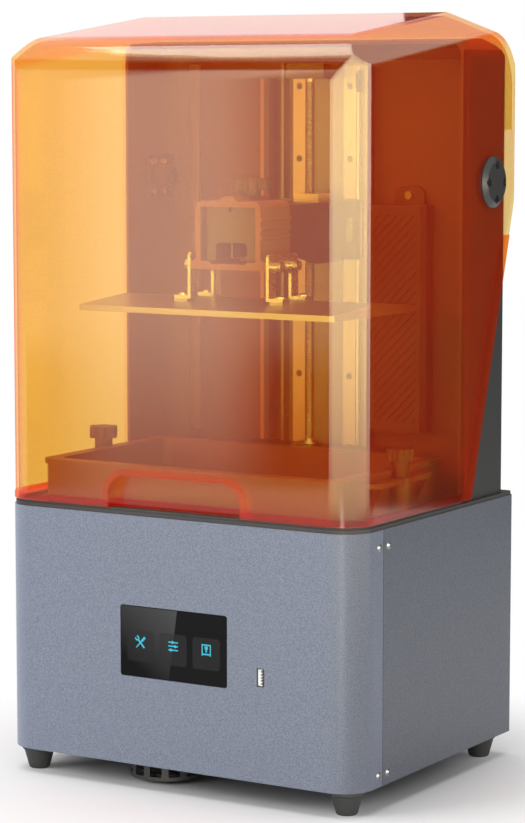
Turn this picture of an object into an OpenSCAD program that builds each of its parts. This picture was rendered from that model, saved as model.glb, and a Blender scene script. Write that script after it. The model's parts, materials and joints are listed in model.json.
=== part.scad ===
// Masked-LCD resin printer: powder-coated base with touch screen, amber flip-up hood on two torque
// hinges, open-fronted tower with a twin-rail Z axis, sliding build plate and lift-out resin vat.
// Frame: +X right, +Y back, +Z up, origin on the floor at the centre of the footprint, millimetres.

/* [Base housing] */
// Width of the housing
body_w = 333; // [325:1:345]
// Depth of the housing
body_d = 266.8; // [262:0.2:276]
// Height of the painted housing, without feet
base_h = 201.5; // [190:0.5:215]
// Thickness of the painted sheet steel
sheet_t = 2; // [1.5:0.1:3]
// Radius of the two front corners
front_r = 26; // [20:1:30]
// Radius of the two rear corners
rear_r = 5; // [4:0.5:8]
// Distance from the front face to the seam between front panel and cover
seam_from_front = 41.4; // [38:0.1:46]
// Open gap along that seam
seam_gap = 0.6; // [0.3:0.1:1]

/* [Feet] */
// Height of a rubber foot
foot_h = 20; // [16:0.5:24]
// Radius of a foot where it meets the housing
foot_top_r = 14; // [12:0.5:16]
// Radius of a foot on the floor
foot_floor_r = 8.5; // [7:0.5:10]
// Distance of a foot from the housing's side
foot_inset_x = 20; // [18:0.5:26]
// Distance of a foot from the housing's front or back
foot_inset_y = 21; // [19:0.5:26]

/* [Touch screen and port] */
// Width of the cover glass
glass_w = 100; // [90:1:110]
// Height of the cover glass
glass_h = 57; // [50:1:62]
// Height of the glass centre above the floor
glass_z = 120.5; // [105:0.5:135]
// Distance of the upright data port from the centre line
port_x = 81; // [72:0.5:95]
// Width of the port's metal mouth
port_w = 6.3; // [6:0.1:7]
// Height of the port's metal mouth
port_h = 14.2; // [13:0.1:15]
// Height of the port centre above the floor
port_z = 103.6; // [95:0.1:112]

/* [Deck] */
// Thickness of the deck plate on top of the housing
deck_t = 3; // [2.5:0.1:4]
// Height of the soft seal on the deck
seal_t = 1.9; // [1.5:0.1:2.5]
// Distance from the outside of the vat to the glass of the masking display
lcd_margin = 18; // [16:0.5:21]
// How far the display's centre lies behind the centre of the vat
lcd_shift = 6.5; // [4:0.5:8]

/* [Hood] */
// Height of the hood's ridge above the floor
ridge_z = 619.2; // [608:0.1:625]
// Distance of the ridge from the back of the housing
ridge_inset = 87.4; // [82:0.2:94]
// Thickness of the tinted panels
hood_t = 3; // [2.4:0.1:3.4]
// How far the bottom rim stands proud of the panels
rim_out = 0.5; // [0.3:0.1:0.8]
// Height of the bottom rim
rim_h = 5.5; // [4:0.5:8]
// Rise of the roof towards the ridge, in degrees
roof_rise = 7.5; // [6:0.1:8.5]
// Fall of the roof behind the ridge, in degrees
roof_fall = 17.3; // [15:0.1:18.5]
// Width of the slope along each side of the roof
slope_w = 20; // [16:0.5:24]
// Fall of that slope
slope_fall = 22; // [18:0.5:26]
// Radius of the roof's two bends above the front panel
brow_r = 34; // [14:1:36]
// Height where the rear edge starts to lean forward
rear_break_z = 479; // [470:1:490]
// Distance of the rear edge from the back of the housing, at the bottom rim
rear_foot_inset = 77.4; // [72:0.2:82]
// Width of the stiffening rim along that leaning edge
edge_rim_w = 15; // [8:0.5:20]
// How far that rim ends below the point where the edge starts to lean
edge_rim_drop = 40; // [25:1:60]
// Half width of the finger pocket
pocket_hw = 62; // [50:1:70]
// Height of the finger pocket's opening
pocket_h = 26.5; // [22:0.5:32]
// Depth of the finger pocket
pocket_depth = 11.5; // [9:0.5:12.5]
// Width of the bead around the finger pocket
bead_w = 6; // [4:0.5:8]

/* [Hood hinges] */
// Distance of the hinge axis from the inner face of the tower's back wall
hinge_inset = 24.5; // [21:0.5:28]
// Height of the hinge axis above the floor
hinge_z = 483; // [478:1:490]
// Radius of the hinge shaft
hinge_shaft_r = 6; // [4:0.5:7]
// Radius of the round hinge covers
hinge_cap_r = 21; // [18:0.5:24]
// Thickness of the round hinge covers
hinge_cap_t = 4; // [3.6:0.1:6]
// Side of the square hinge hub plate
hub_plate = 36; // [34:1:40]

/* [Tower] */
// Gap between the tower and the hood's side panels
tower_gap = 0.5; // [0.4:0.1:1.5]
// Thickness of the tower's sheet
tower_t = 2.5; // [2:0.1:3]
// Depth of the tower in front of its back wall
tower_depth = 71; // [67:0.5:75]
// Distance from the back of the housing to the inner face of the tower's back wall
wall_inset = 18.9; // [17.5:0.1:21]
// How far the tower's highest edge lies below the hood's ridge
tower_drop = 20.2; // [19.5:0.1:28]
// How far the tower's rear cover stands back from the tower's sides
cover_inset = 14; // [8:0.5:20]
// Radius of the tower's upright inner corners
tower_in_r = 30; // [24:1:34]

/* [Z axis] */
// Half distance between the linear rails
rail_x = 24.7; // [23:0.1:27]
// Width of a linear rail
rail_w = 12; // [11:0.5:14]
// Thickness of a linear rail
rail_t = 8; // [7:0.5:9]
// Bottom of the rails
rail_z0 = 240; // [236:1:246]
// How far the rails end below the tower's top
rail_drop = 21; // [20:1:34]
// Distance between rail screws
rail_pitch = 61.3; // [50:0.1:70]
// Radius of the lead screw
screw_r = 4; // [3:0.5:5]
// Distance of the lead screw from the carriage plate
screw_gap = 13; // [11:0.5:14]
// Space beside each rail in its column
rail_side_gap = 11.3; // [11:0.1:12.5]

/* [Arm and sleeve] */
// Half width of the arm
arm_hw = 23.5; // [21:0.5:25]
// Top of the arm
arm_top_z = 464; // [460:0.5:468]
// Length of the sleeve
sleeve_len = 46.3; // [42:0.1:50]
// Half width of the sleeve, outside
sleeve_hw = 30.7; // [29:0.1:32]
// Wall of the sleeve
sleeve_t = 4.7; // [4:0.1:5.5]
// Height of the sleeve's window
window_h = 44; // [40:0.5:47]
// Half width of the sleeve's foot flange
flange_hw = 35.8; // [34:0.1:37]
// Thickness of the sleeve's foot flange
flange_t = 6.5; // [5:0.1:7]
// Radius of the clamp knob
knob_r = 18.5; // [15:0.5:20]

/* [Build plate] */
// How much smaller the build plate is than the display's glass, front to back
plate_margin = 6.4; // [4:0.2:10]
// Bottom of the build plate as parked
plate_z = 378.9; // [374:0.1:382]
// Thickness of the plate at its edges
plate_edge_t = 4.7; // [4:0.1:6]
// Rise of the plate's roof-shaped top
plate_rise = 5.5; // [4:0.1:6.5]
// Thickness of the side brackets
bracket_t = 2.7; // [2:0.1:3]
// Length of a bracket's outward foot
bracket_foot = 13; // [11:0.5:15]

/* [Resin vat] */
// Space between the vat and the hood's side panels
vat_side_gap = 25; // [24:0.5:27]
// Space between the vat and the hood's front panel
vat_front_gap = 13.9; // [12.9:0.1:16]
// Space between the vat and the tower's back wall
vat_back_gap = 54.5; // [53:0.5:57]
// Height of the vat
vat_h = 34.3; // [30:0.1:36]
// Distance of the thumb screws from the sides of the vat
thumb_out = 4.6; // [3.5:0.1:6]
// How far the thumb screws lie behind the centre of the vat
thumb_shift = 6; // [2:1:10]
// Radius of a thumb screw's head
thumb_r = 12.5; // [10:0.5:14]

/* [Cooling fan] */
// Side of the fan housing
fan_side = 60; // [56:1:64]
// Place of the fan, left to right
fan_x = -38; // [-44:1:-32]
// Distance of the fan's axis from the front face
fan_inset = 48.4; // [45:0.2:52]
// Height of the fan housing
fan_h = 15; // [12:0.5:18]

/* [Hidden] */
$fn = 64;
eps = 0.01;
// radial clearance of a turning shaft in its bore
run_fit = 0.05;
// clearance between parts that only pass each other
pass_gap = 0.3;
hw = body_w / 2;
hd = body_d / 2;
base_z0 = foot_h;
base_z1 = foot_h + base_h;
deck_z = base_z1 + deck_t;
seal_z = deck_z + seal_t;
hood_z0 = seal_z + 0.2;
seam_y = -hd + seam_from_front;
board_y = -hd + 15.4;
fan_y = -hd + fan_inset;
// hood panel planes, ridge and leaning rear edge
hood_hw = hw - rim_out;
hood_hd = hd - rim_out;
ridge_y = hd - ridge_inset;
rear_foot_y = hd - rear_foot_inset;
front_brow_z = ridge_z - (ridge_y + hood_hd - 20) * tan(roof_rise);
rear_edge_z = ridge_z - (hood_hd - ridge_y) * tan(roof_fall);
// top of the rim on the leaning edge, and that edge's place there
edge_rim_z = rear_break_z - edge_rim_drop;
edge_rim_y = hood_hd - (hood_hd - rear_foot_y) * edge_rim_drop / (rear_break_z - hood_z0);
// top of the opening in the hood's back
back_open_z = hinge_z + 2 * hinge_cap_r;
// tower, rails and carriage
tower_hw = hood_hw - hood_t - tower_gap;
tower_top_z = ridge_z - tower_drop;
wall_y = hd - wall_inset;
tower_y0 = wall_y - tower_depth;
hinge_y = wall_y - hinge_inset;
column_t = 3.5;
column_lip = 2.5;
column_face = wall_y - column_t;
column_hw = rail_x + rail_w / 2 + rail_side_gap;
rail_z1 = tower_top_z - rail_drop;
rail_y0 = column_face - rail_t;
block_side = 7.5;
block_y0 = rail_y0 - 5;
block_z0 = arm_top_z - 46;
block_z1 = arm_top_z - 1;
carriage_t = 6;
carriage_y0 = block_y0 - carriage_t;
screw_y = carriage_y0 - screw_gap;
// vat with its thumb screws, and the display under it
vat_hw = hood_hw - hood_t - vat_side_gap;
vat_y0 = -hood_hd + hood_t + vat_front_gap;
vat_y1 = wall_y - vat_back_gap;
vat_cy = (vat_y0 + vat_y1) / 2;
vat_z0 = deck_z + 0.1;
vat_z1 = vat_z0 + vat_h;
vat_wall = 10;
film_recess = 5;
lug_z = vat_z1 - 6.9;
lug_hl = 48.5;
thumb_x = vat_hw + thumb_out;
thumb_y = vat_cy + thumb_shift;
base_block_z = vat_z1 - 2;
lcd_w = 2 * (vat_hw - lcd_margin);
lcd_d = vat_y1 - vat_y0 - 2 * lcd_margin;
lcd_y = vat_cy + lcd_shift;
// sleeve and plate
window_z0 = arm_top_z - window_h;
flange_z0 = window_z0 - flange_t;
plate_w = lcd_w;
plate_d = lcd_d - plate_margin;
plate_cy = lcd_y + 0.3;
sleeve_y0 = plate_cy - 30.1;
sleeve_y1 = sleeve_y0 + sleeve_len;
knob_y = plate_cy + 1.2;
sleeve_top_z = arm_top_z + 4.5;
bump_h = 3.7;
knob_seat_z = sleeve_top_z + bump_h + pass_gap;
plate_top_z = plate_z + plate_edge_t;
pad_z = plate_top_z + plate_rise + 0.1;
bracket_top_z = window_z0 + 7;
bracket_leg = 11;
// air filter beside the column
filter_x0 = column_hw + 4;
filter_x1 = filter_x0 + 53;
filter_x = (filter_x0 + filter_x1) / 2 + 5.5;
filter_z0 = rail_z0 + 32;
filter_z1 = arm_top_z - 2;
filter_t = 16.5;
motor_side = 42.3;
// mains inlet, switch and power supply at the back of the base
inlet_hw = 15;
inlet_hh = 12;
inlet_depth = 24;
inlet_x = -hw + 54.5;
inlet_z = base_z0 + 42;
switch_hw = 8.5;
switch_x = inlet_x + 40;
switch_z = inlet_z;
psu_inset = 16.5;
psu_w = 90;
psu_h = 34;
// mainboard's reach to the left and right of the data port
board_left = 141;
board_right = 27;
// light engine between the pan and the display
tunnel_hw = lcd_w / 2 - 2;
tunnel_hd = lcd_d / 2 - 2;
tunnel_z0 = base_z1 - 125.5;
lens_z = base_z1 - 12;
sink_z = tunnel_z0 - 10;
sink_hw = lcd_w / 2 - 16;
sink_hd = lcd_d / 2 - 12;
post_x = sink_hw - 6;
post_dy = sink_hd + 6;
post_r = 5;

// ---------- plane helpers ----------
function unit(v) = v / norm(v);
function half_angle(p, a, b) = acos(unit(a - p) * unit(b - p)) / 2;
function bisector(p, a, b) = unit(unit(a - p) + unit(b - p));
function before(pts, i) = pts[(i + len(pts) - 1) % len(pts)];
function after(pts, i) = pts[(i + 1) % len(pts)];
// a convex outline moved inward by t
function inset(pts, t) = [for (i = [0 : len(pts) - 1])
    let (p = pts[i], a = before(pts, i), b = after(pts, i))
    p + bisector(p, a, b) * t / sin(half_angle(p, a, b))];

// convex outline with a true arc of its own radius at each corner
module rounded_outline(pts, radii) {
    polygon([for (i = [0 : len(pts) - 1])
        let (p = pts[i], a = before(pts, i), b = after(pts, i),
             d = radii[i] / tan(half_angle(p, a, b)))
        each radii[i] > 0 ? [p + unit(a - p) * d, p + unit(b - p) * d] : [p]]);
    for (i = [0 : len(pts) - 1])
        if (radii[i] > 0)
            let (p = pts[i], a = before(pts, i), b = after(pts, i))
            translate(p + bisector(p, a, b) * radii[i] / sin(half_angle(p, a, b)))
                circle(radii[i]);
}

module rounded_rect(x0, x1, y0, y1, r) {
    rounded_outline([[x0, y0], [x1, y0], [x1, y1], [x0, y1]], [r, r, r, r]);
}

module rounded_slab(x0, x1, y0, y1, z0, z1, r) {
    translate([0, 0, z0]) linear_extrude(z1 - z0) rounded_rect(x0, x1, y0, y1, r);
}

module block(x0, x1, y0, y1, z0, z1) {
    translate([x0, y0, z0]) cube([x1 - x0, y1 - y0, z1 - z0]);
}

// plan outline of the housing, moved inward by t
module body_outline(t) {
    rounded_outline([[-hw + t, -hd + t], [hw - t, -hd + t], [hw - t, hd - t], [-hw + t, hd - t]],
        [front_r - t, front_r - t, max(rear_r - t, 0.5), max(rear_r - t, 0.5)]);
}

// extrudes a Y-Z outline along X
module along_x(x0, x1) {
    translate([x0, 0, 0]) rotate([90, 0, 90]) linear_extrude(x1 - x0) children();
}

// extrudes an X-Z outline along +Y
module along_y(y0, y1) {
    translate([0, y1, 0]) rotate([90, 0, 0]) linear_extrude(y1 - y0) children();
}

module rod_x(x0, x1, y, z, r) {
    translate([x0, y, z]) rotate([0, 90, 0]) cylinder(h = x1 - x0, r = r);
}

module rod_y(y0, y1, x, z, r) {
    translate([x, y0, z]) rotate([-90, 0, 0]) cylinder(h = y1 - y0, r = r);
}

module rod_z(z0, z1, x, y, r) {
    translate([x, y, z0]) cylinder(h = z1 - z0, r = r);
}

module both_sides() {
    children();
    mirror([1, 0, 0]) children();
}

// ---------- base housing ----------
module glass_cutout(gap) {
    rounded_rect(-glass_w / 2 - gap, glass_w / 2 + gap, glass_z - glass_h / 2 - gap,
        glass_z + glass_h / 2 + gap, 2 + gap);
}

module port_cutout(gap) {
    rounded_rect(port_x - port_w / 2 - gap, port_x + port_w / 2 + gap, port_z - port_h / 2 - gap,
        port_z + port_h / 2 + gap, 0.6);
}

module front_panel() {
    color([0.56, 0.59, 0.65]) difference() {
        translate([0, 0, base_z0]) linear_extrude(base_h) difference() {
            body_outline(0);
            body_outline(sheet_t);
            translate([-body_w, seam_y]) square([2 * body_w, 2 * body_d]);
        }
        along_y(-hd - 1, -hd + sheet_t + 1) glass_cutout(pass_gap);
        along_y(-hd - 1, -hd + sheet_t + 1) port_cutout(pass_gap);
        panel_screw_holes();
    }
}

panel_screw_y = [seam_y - 6.4, seam_y + 8.6];
panel_screw_z = [base_z0 + 9, base_z1 - 13.5];

module panel_screw_holes() {
    for (y = panel_screw_y, z = panel_screw_z)
        rod_x(-hw - 1, hw + 1, y, z, 1.6);
}

module side_rear_cover() {
    color([0.34, 0.36, 0.41]) difference() {
        union() {
            translate([0, 0, base_z0]) linear_extrude(base_h) difference() {
                body_outline(0);
                body_outline(sheet_t);
                translate([-body_w, -2 * body_d + seam_y + seam_gap]) square([2 * body_w, 2 * body_d]);
            }
            // joggled flanges that carry the front panel's screws
            for (side = [-1, 1])
                translate([side * (hw - sheet_t - 0.8), seam_y + 2, base_z0 + base_h / 2])
                    cube([1.6, 24, base_h - 20], center = true);
        }
        panel_screw_holes();
        // exhaust slots in the back
        for (i = [0 : 9], row = [0, 1])
            translate([hw - 136.5 + i * 11, hd - sheet_t - 1, base_z0 + 90 + row * 38])
                cube([4.5, sheet_t + 2, 30]);
        along_y(hd - sheet_t - 1, hd + 1) inlet_outline(0);
        along_y(hd - sheet_t - 1, hd + 1) switch_outline(0);
    }
}

module base_pan() {
    color([0.2, 0.2, 0.22]) difference() {
        union() {
            translate([0, 0, base_z0]) linear_extrude(sheet_t) body_outline(sheet_t + 0.1);
            translate([0, 0, base_z0 + sheet_t]) linear_extrude(9) difference() {
                body_outline(sheet_t + 1.9);
                body_outline(sheet_t + 3.5);
            }
        }
        rod_z(base_z0 - 1, base_z0 + sheet_t + 1, fan_x, fan_y, fan_side / 2 - 3);
        foot_places() rod_z(base_z0 - 1, base_z0 + sheet_t + 1, 0, 0, 2.1);
        panel_screw_holes();
    }
}

module foot_places() {
    for (sx = [-1, 1], sy = [-1, 1])
        translate([sx * (hw - foot_inset_x), sy * (hd - foot_inset_y), 0]) children();
}

module feet() {
    color([0.1, 0.11, 0.13]) foot_places() difference() {
        rotate_extrude() polygon([[0, 0], [foot_floor_r - 0.8, 0], [foot_floor_r, 0.8],
            [foot_top_r - 1.5, foot_h - 5], [foot_top_r, foot_h - 3.5], [foot_top_r, foot_h], [0, foot_h]]);
        rod_z(-1, 10, 0, 0, 4.5);
        rod_z(-1, foot_h + 1, 0, 0, 2.1);
    }
}

module foot_screws() {
    color("silver") foot_places() {
        rod_z(7, 10, 0, 0, 4);
        rod_z(9.5, foot_h + sheet_t + 4, 0, 0, 2.05);
    }
}

module panel_screws() {
    color("silver") both_sides() for (y = panel_screw_y, z = panel_screw_z)
        translate([hw, y, z]) rotate([0, 90, 0]) difference() {
            union() {
                intersection() {
                    translate([0, 0, -3]) sphere(4.4);
                    cylinder(h = 3, r = 3.2);
                }
                translate([0, 0, -7]) cylinder(h = 7 + eps, r = 1.55);
            }
            translate([0, 0, 0.6]) cylinder(h = 2, r = 1.1, $fn = 6);
        }
}

module touch_glass() {
    color([0.04, 0.04, 0.05]) along_y(-hd, -hd + 1.6) glass_cutout(0);
}

module display_module() {
    color([0.15, 0.16, 0.17]) {
        block(-glass_w / 2 + 3, glass_w / 2 - 3, -hd + 1.6, -hd + 8, glass_z - glass_h / 2 + 3,
            glass_z + glass_h / 2 - 3);
        for (sx = [-1, 1], sz = [-1, 1])
            rod_y(-hd + 8 - eps, board_y, sx * (glass_w / 2 - 8), glass_z + sz * (glass_h / 2 - 8), 2.5);
    }
}

module data_port() {
    color("silver") difference() {
        along_y(-hd + 0.3, board_y) port_cutout(0);
        along_y(-hd, board_y - 2) rounded_rect(port_x - port_w / 2 + 0.5, port_x + port_w / 2 - 0.5,
            port_z - port_h / 2 + 0.5, port_z + port_h / 2 - 0.5, 0.3);
    }
    color([0.1, 0.1, 0.1]) block(port_x - 2.2, port_x - 0.4, -hd + 1.5, board_y - 1.9, port_z - 5.6,
        port_z + 5.6);
}

module mainboard() {
    board_t = 1.6;
    x0 = port_x - board_left;
    x1 = port_x + board_right;
    z0 = port_z - 37.6;
    z1 = glass_z + 47.5;
    chip_y = board_y + board_t;
    color([0.05, 0.25, 0.16]) block(x0, x1, board_y, chip_y, z0, z1);
    color([0.12, 0.12, 0.13]) {
        // processor, memory and the two rows of sockets
        block(x0 + 40, x0 + 62, chip_y, chip_y + 2.4, z0 + 30, z0 + 52);
        block(x0 + 80, x0 + 94, chip_y, chip_y + 2, z0 + 34, z0 + 48);
        block(x0 + 10, x0 + 36, chip_y, chip_y + 10.4, z1 - 18, z1 - 6);
        block(x1 - 58, x1 - 12, chip_y, chip_y + 10.4, z1 - 18, z1 - 6);
    }
    // stand-offs to the front panel
    color("silver") for (x = [x0 + 4, x1 - 4], z = [z0 + 4, z1 - 4])
        rod_y(-hd + sheet_t, board_y, x, z, 3);
}

module power_supply() {
    x0 = -hw + psu_inset;
    y0 = lcd_y + post_dy + post_r + 2.5;
    y1 = hd - inlet_depth - 1.4;
    z0 = base_z0 + sheet_t;
    z1 = z0 + psu_h;
    color([0.62, 0.63, 0.65]) difference() {
        block(x0, x0 + psu_w, y0, y1, z0, z1);
        // air slots in the lid
        for (i = [0 : 9])
            block(x0 + 6 + i * 8, x0 + 10 + i * 8, y0 + 8, y1 - 8, z1 - 2, z1 + 1);
    }
}

module led_array() {
    board_hw = sink_hw - 4;
    board_hd = sink_hd - 3;
    pitch_x = (board_hw - 12) / 4;
    pitch_y = (board_hd - 11) / 2;
    color([0.9, 0.92, 0.9])
        block(-board_hw, board_hw, lcd_y - board_hd, lcd_y + board_hd, tunnel_z0 - 4, tunnel_z0 - 2);
    color([0.55, 0.45, 0.95]) for (i = [-4 : 4], j = [-2 : 2])
        rod_z(tunnel_z0 - 2, tunnel_z0 - 0.5, i * pitch_x, lcd_y + j * pitch_y, 4);
}

module heat_sink() {
    fins = 16;
    fin_t = 2;
    fin_h = 22;
    fin_pitch = 2 * (sink_hw - 4) / fins;
    color([0.25, 0.26, 0.28]) {
        block(-sink_hw, sink_hw, lcd_y - sink_hd, lcd_y + sink_hd, sink_z, tunnel_z0 - 4);
        for (i = [0 : fins])
            translate([-sink_hw + 2 + i * fin_pitch, lcd_y - sink_hd, sink_z - fin_h])
                cube([fin_t, 2 * sink_hd, fin_h + eps]);
        // ledges over the posts
        for (sy = [-1, 1])
            block(-sink_hw, sink_hw, lcd_y + sy * post_dy - 6, lcd_y + sy * post_dy + 6, sink_z,
                tunnel_z0 - 4);
    }
    // posts that carry the light engine on the pan
    color([0.6, 0.6, 0.62]) for (sx = [-1, 1], sy = [-1, 1])
        rod_z(base_z0 + sheet_t, sink_z + eps, sx * post_x, lcd_y + sy * post_dy, post_r);
}

module light_tunnel() {
    color([0.75, 0.76, 0.78]) difference() {
        rounded_slab(-tunnel_hw, tunnel_hw, lcd_y - tunnel_hd, lcd_y + tunnel_hd, tunnel_z0 - 4,
            lens_z, 3);
        rounded_slab(-tunnel_hw + 2, tunnel_hw - 2, lcd_y - tunnel_hd + 2, lcd_y + tunnel_hd - 2,
            tunnel_z0 - 5, lens_z + 1, 1);
    }
}

module collimator_lens() {
    color([0.85, 0.9, 0.95, 0.6])
        rounded_slab(-tunnel_hw, tunnel_hw, lcd_y - tunnel_hd, lcd_y + tunnel_hd, lens_z, lens_z + 3, 3);
}

module lcd_panel() {
    color([0.07, 0.07, 0.09]) {
        rounded_slab(-lcd_w / 2, lcd_w / 2, lcd_y - lcd_d / 2, lcd_y + lcd_d / 2, deck_z - 1.2,
            deck_z, 3);
        rounded_slab(-lcd_w / 2 + 4, lcd_w / 2 - 4, lcd_y - lcd_d / 2 + 4, lcd_y + lcd_d / 2 - 4,
            lens_z + 3, deck_z - 1.2 + eps, 3);
    }
}

module deck_plate() {
    color([0.16, 0.16, 0.17]) difference() {
        translate([0, 0, base_z1]) linear_extrude(deck_t) body_outline(1);
        rounded_slab(-lcd_w / 2 - 0.1, lcd_w / 2 + 0.1, lcd_y - lcd_d / 2 - 0.1,
            lcd_y + lcd_d / 2 + 0.1, deck_z - 1.2, deck_z + 1, 3.1);
        rounded_slab(-lcd_w / 2 + 3.9, lcd_w / 2 - 3.9, lcd_y - lcd_d / 2 + 3.9,
            lcd_y + lcd_d / 2 - 3.9, base_z1 - 1, deck_z + 1, 3.1);
        rod_z(base_z1 - 1, deck_z + 1, 0, screw_y, screw_r + 3);
    }
}

module lid_seal() {
    color([0.07, 0.07, 0.075]) translate([0, 0, deck_z]) linear_extrude(seal_t) difference() {
        body_outline(2.2);
        body_outline(7.2);
        translate([-body_w, tower_y0 - 2]) square([2 * body_w, body_d]);
    }
}

// ---------- fan ----------
fan_z0 = base_z0 + sheet_t;
fan_shaft_r = 1.5;

module fan_housing() {
    color([0.08, 0.08, 0.09]) {
        difference() {
            rounded_slab(fan_x - fan_side / 2, fan_x + fan_side / 2, fan_y - fan_side / 2,
                fan_y + fan_side / 2, fan_z0, fan_z0 + fan_h, 4);
            rod_z(fan_z0 - 1, fan_z0 + fan_h + 1, fan_x, fan_y, fan_side / 2 - 2);
            for (sx = [-1, 1], sy = [-1, 1])
                rod_z(fan_z0 - 1, fan_z0 + fan_h + 1, fan_x + sx * (fan_side / 2 - 5),
                    fan_y + sy * (fan_side / 2 - 5), 2);
        }
        rod_z(fan_z0 + fan_h - 2, fan_z0 + fan_h, fan_x, fan_y, 11);
        for (a = [0, 90, 180, 270])
            translate([fan_x, fan_y, fan_z0 + fan_h - 2]) rotate([0, 0, a])
                translate([9, -1.5, 0]) cube([fan_side / 2 - 10.5, 3, 2]);
        rod_z(fan_z0 + 2, fan_z0 + fan_h - 1, fan_x, fan_y, fan_shaft_r);
    }
}

module fan_rotor() {
    blade_r = fan_side / 2 - 3;
    color([0.12, 0.12, 0.13]) difference() {
        union() {
            rod_z(fan_z0 + 1, fan_z0 + fan_h - 2.4, fan_x, fan_y, 11);
            for (a = [0 : 7]) translate([fan_x, fan_y, fan_z0 + fan_h / 2 - 1]) rotate([0, 0, a * 45])
                translate([10, 0, 0]) rotate([35, 0, 0])
                    translate([0, -6.2, -0.6]) cube([blade_r - 12, 12.4, 1.2]);
        }
        rod_z(fan_z0 - 1, fan_z0 + fan_h + 1, fan_x, fan_y, fan_shaft_r + run_fit);
    }
}

module bottom_fan_guard() {
    color([0.1, 0.1, 0.11]) {
        difference() {
            rod_z(3, base_z0, fan_x, fan_y, fan_side / 2);
            rod_z(2, base_z0 + 1, fan_x, fan_y, fan_side / 2 - 2.5);
            // air windows around the skirt
            for (a = [0 : 11]) translate([fan_x, fan_y, 6]) rotate([0, 0, a * 30 + 15])
                translate([fan_side / 2 - 6, -5, 0]) cube([12, 10, 11]);
        }
        for (r = [9, 17]) difference() {
            rod_z(3, 5.5, fan_x, fan_y, r + 1.2);
            rod_z(2, 6.5, fan_x, fan_y, r - 1.2);
        }
        for (a = [0 : 5]) translate([fan_x, fan_y, 3]) rotate([0, 0, a * 30])
            translate([-fan_side / 2 + 1, -1.2, 0]) cube([fan_side - 2, 2.4, 2.5]);
    }
}

// ---------- power entry ----------
module inlet_outline(gap) {
    rounded_rect(inlet_x - inlet_hw - gap, inlet_x + inlet_hw + gap, inlet_z - inlet_hh - gap,
        inlet_z + inlet_hh + gap, 2);
}

module switch_outline(gap) {
    rounded_rect(switch_x - switch_hw - gap, switch_x + switch_hw + gap, switch_z - inlet_hh - gap,
        switch_z + inlet_hh + gap, 1);
}

module power_inlet() {
    mouth_hw = 12.2;
    mouth_hh = 8;
    floor_y = hd - inlet_depth + 4;
    color([0.08, 0.08, 0.08]) difference() {
        along_y(hd - inlet_depth, hd) inlet_outline(-pass_gap / 3);
        along_y(floor_y, hd + 1) translate([inlet_x, inlet_z]) rounded_outline([[-mouth_hw, -mouth_hh],
            [mouth_hw, -mouth_hh], [mouth_hw, mouth_hh / 2], [mouth_hw - 4.2, mouth_hh],
            [4.2 - mouth_hw, mouth_hh], [-mouth_hw, mouth_hh / 2]], [1, 1, 1, 1, 1, 1]);
    }
    // the three contact blades
    color("silver") for (p = [[-7, -1.5], [7, -1.5], [0, 3]])
        translate([inlet_x + p[0] - 1, floor_y - eps, inlet_z + p[1] - 2]) cube([2, 15, 4]);
}

rocker_y = hd - 7;
well_hw = switch_hw - 2;
pin_r = 1.2;

module switch_housing() {
    color([0.06, 0.06, 0.06]) difference() {
        along_y(hd - 16, hd) switch_outline(-pass_gap / 3);
        block(switch_x - well_hw, switch_x + well_hw, hd - 13, hd + 1, switch_z - 10.5, switch_z + 10.5);
    }
    // pivot pins for the rocker
    color([0.06, 0.06, 0.06]) for (side = [-1, 1])
        translate([switch_x + side * (well_hw - 0.95), rocker_y, switch_z]) rotate([0, 90, 0])
            cylinder(h = 1.9 + 2 * eps, r = pin_r, center = true);
}

module rocker_switch() {
    color([0.2, 0.2, 0.2]) difference() {
        // two flats at 7 degrees about the pivot, as parked with its lower end pressed
        along_x(switch_x - well_hw + 0.5, switch_x + well_hw - 0.5) polygon([[rocker_y - 3.5, switch_z - 5],
            [rocker_y - 0.5, switch_z - 9.2], [rocker_y + 4, switch_z - 9.2], [rocker_y + 5, switch_z],
            [rocker_y + 6.4, switch_z + 8.6], [rocker_y + 1.5, switch_z + 9.2],
            [rocker_y - 3.5, switch_z + 5]]);
        rod_x(switch_x - well_hw - 0.5, switch_x - well_hw + 2.1, rocker_y, switch_z, pin_r + run_fit);
        rod_x(switch_x + well_hw - 2.1, switch_x + well_hw + 0.5, rocker_y, switch_z, pin_r + run_fit);
    }
}

// ---------- tower ----------
tower_z0 = deck_z;
tower_ridge_y = hinge_y - 1;
tower_rear_y = wall_y + tower_t;
tower_brow_z = tower_top_z - (tower_ridge_y - tower_y0) * tan(3);
tower_rear_z = tower_top_z - 14;

// side outline of the tower, moved inward by t along its roof
function tower_side(t) = [[tower_y0 - (t > 0 ? 10 : 0), tower_z0 - (t > 0 ? 10 : 0)],
    [tower_y0 - (t > 0 ? 10 : 0), tower_brow_z - t - (t > 0 ? 0.5 : 0)],
    [tower_ridge_y, tower_top_z - t], [tower_rear_y - 12, tower_top_z - 5 - t],
    [tower_rear_y - t, tower_rear_z - t], [tower_rear_y - t, tower_z0 - (t > 0 ? 10 : 0)]];

// front view outline of the tower with its bevelled top corners
module tower_front(t) {
    polygon([[-tower_hw + t, tower_z0 - 20], [tower_hw - t, tower_z0 - 20],
        [tower_hw - t, tower_top_z - 9.5 - t * 0.6], [tower_hw - 13.5 - t * 0.4, tower_top_z - 2.5 - t + 10],
        [-tower_hw + 13.5 + t * 0.4, tower_top_z - 2.5 - t + 10],
        [-tower_hw + t, tower_top_z - 9.5 - t * 0.6]]);
}

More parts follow.
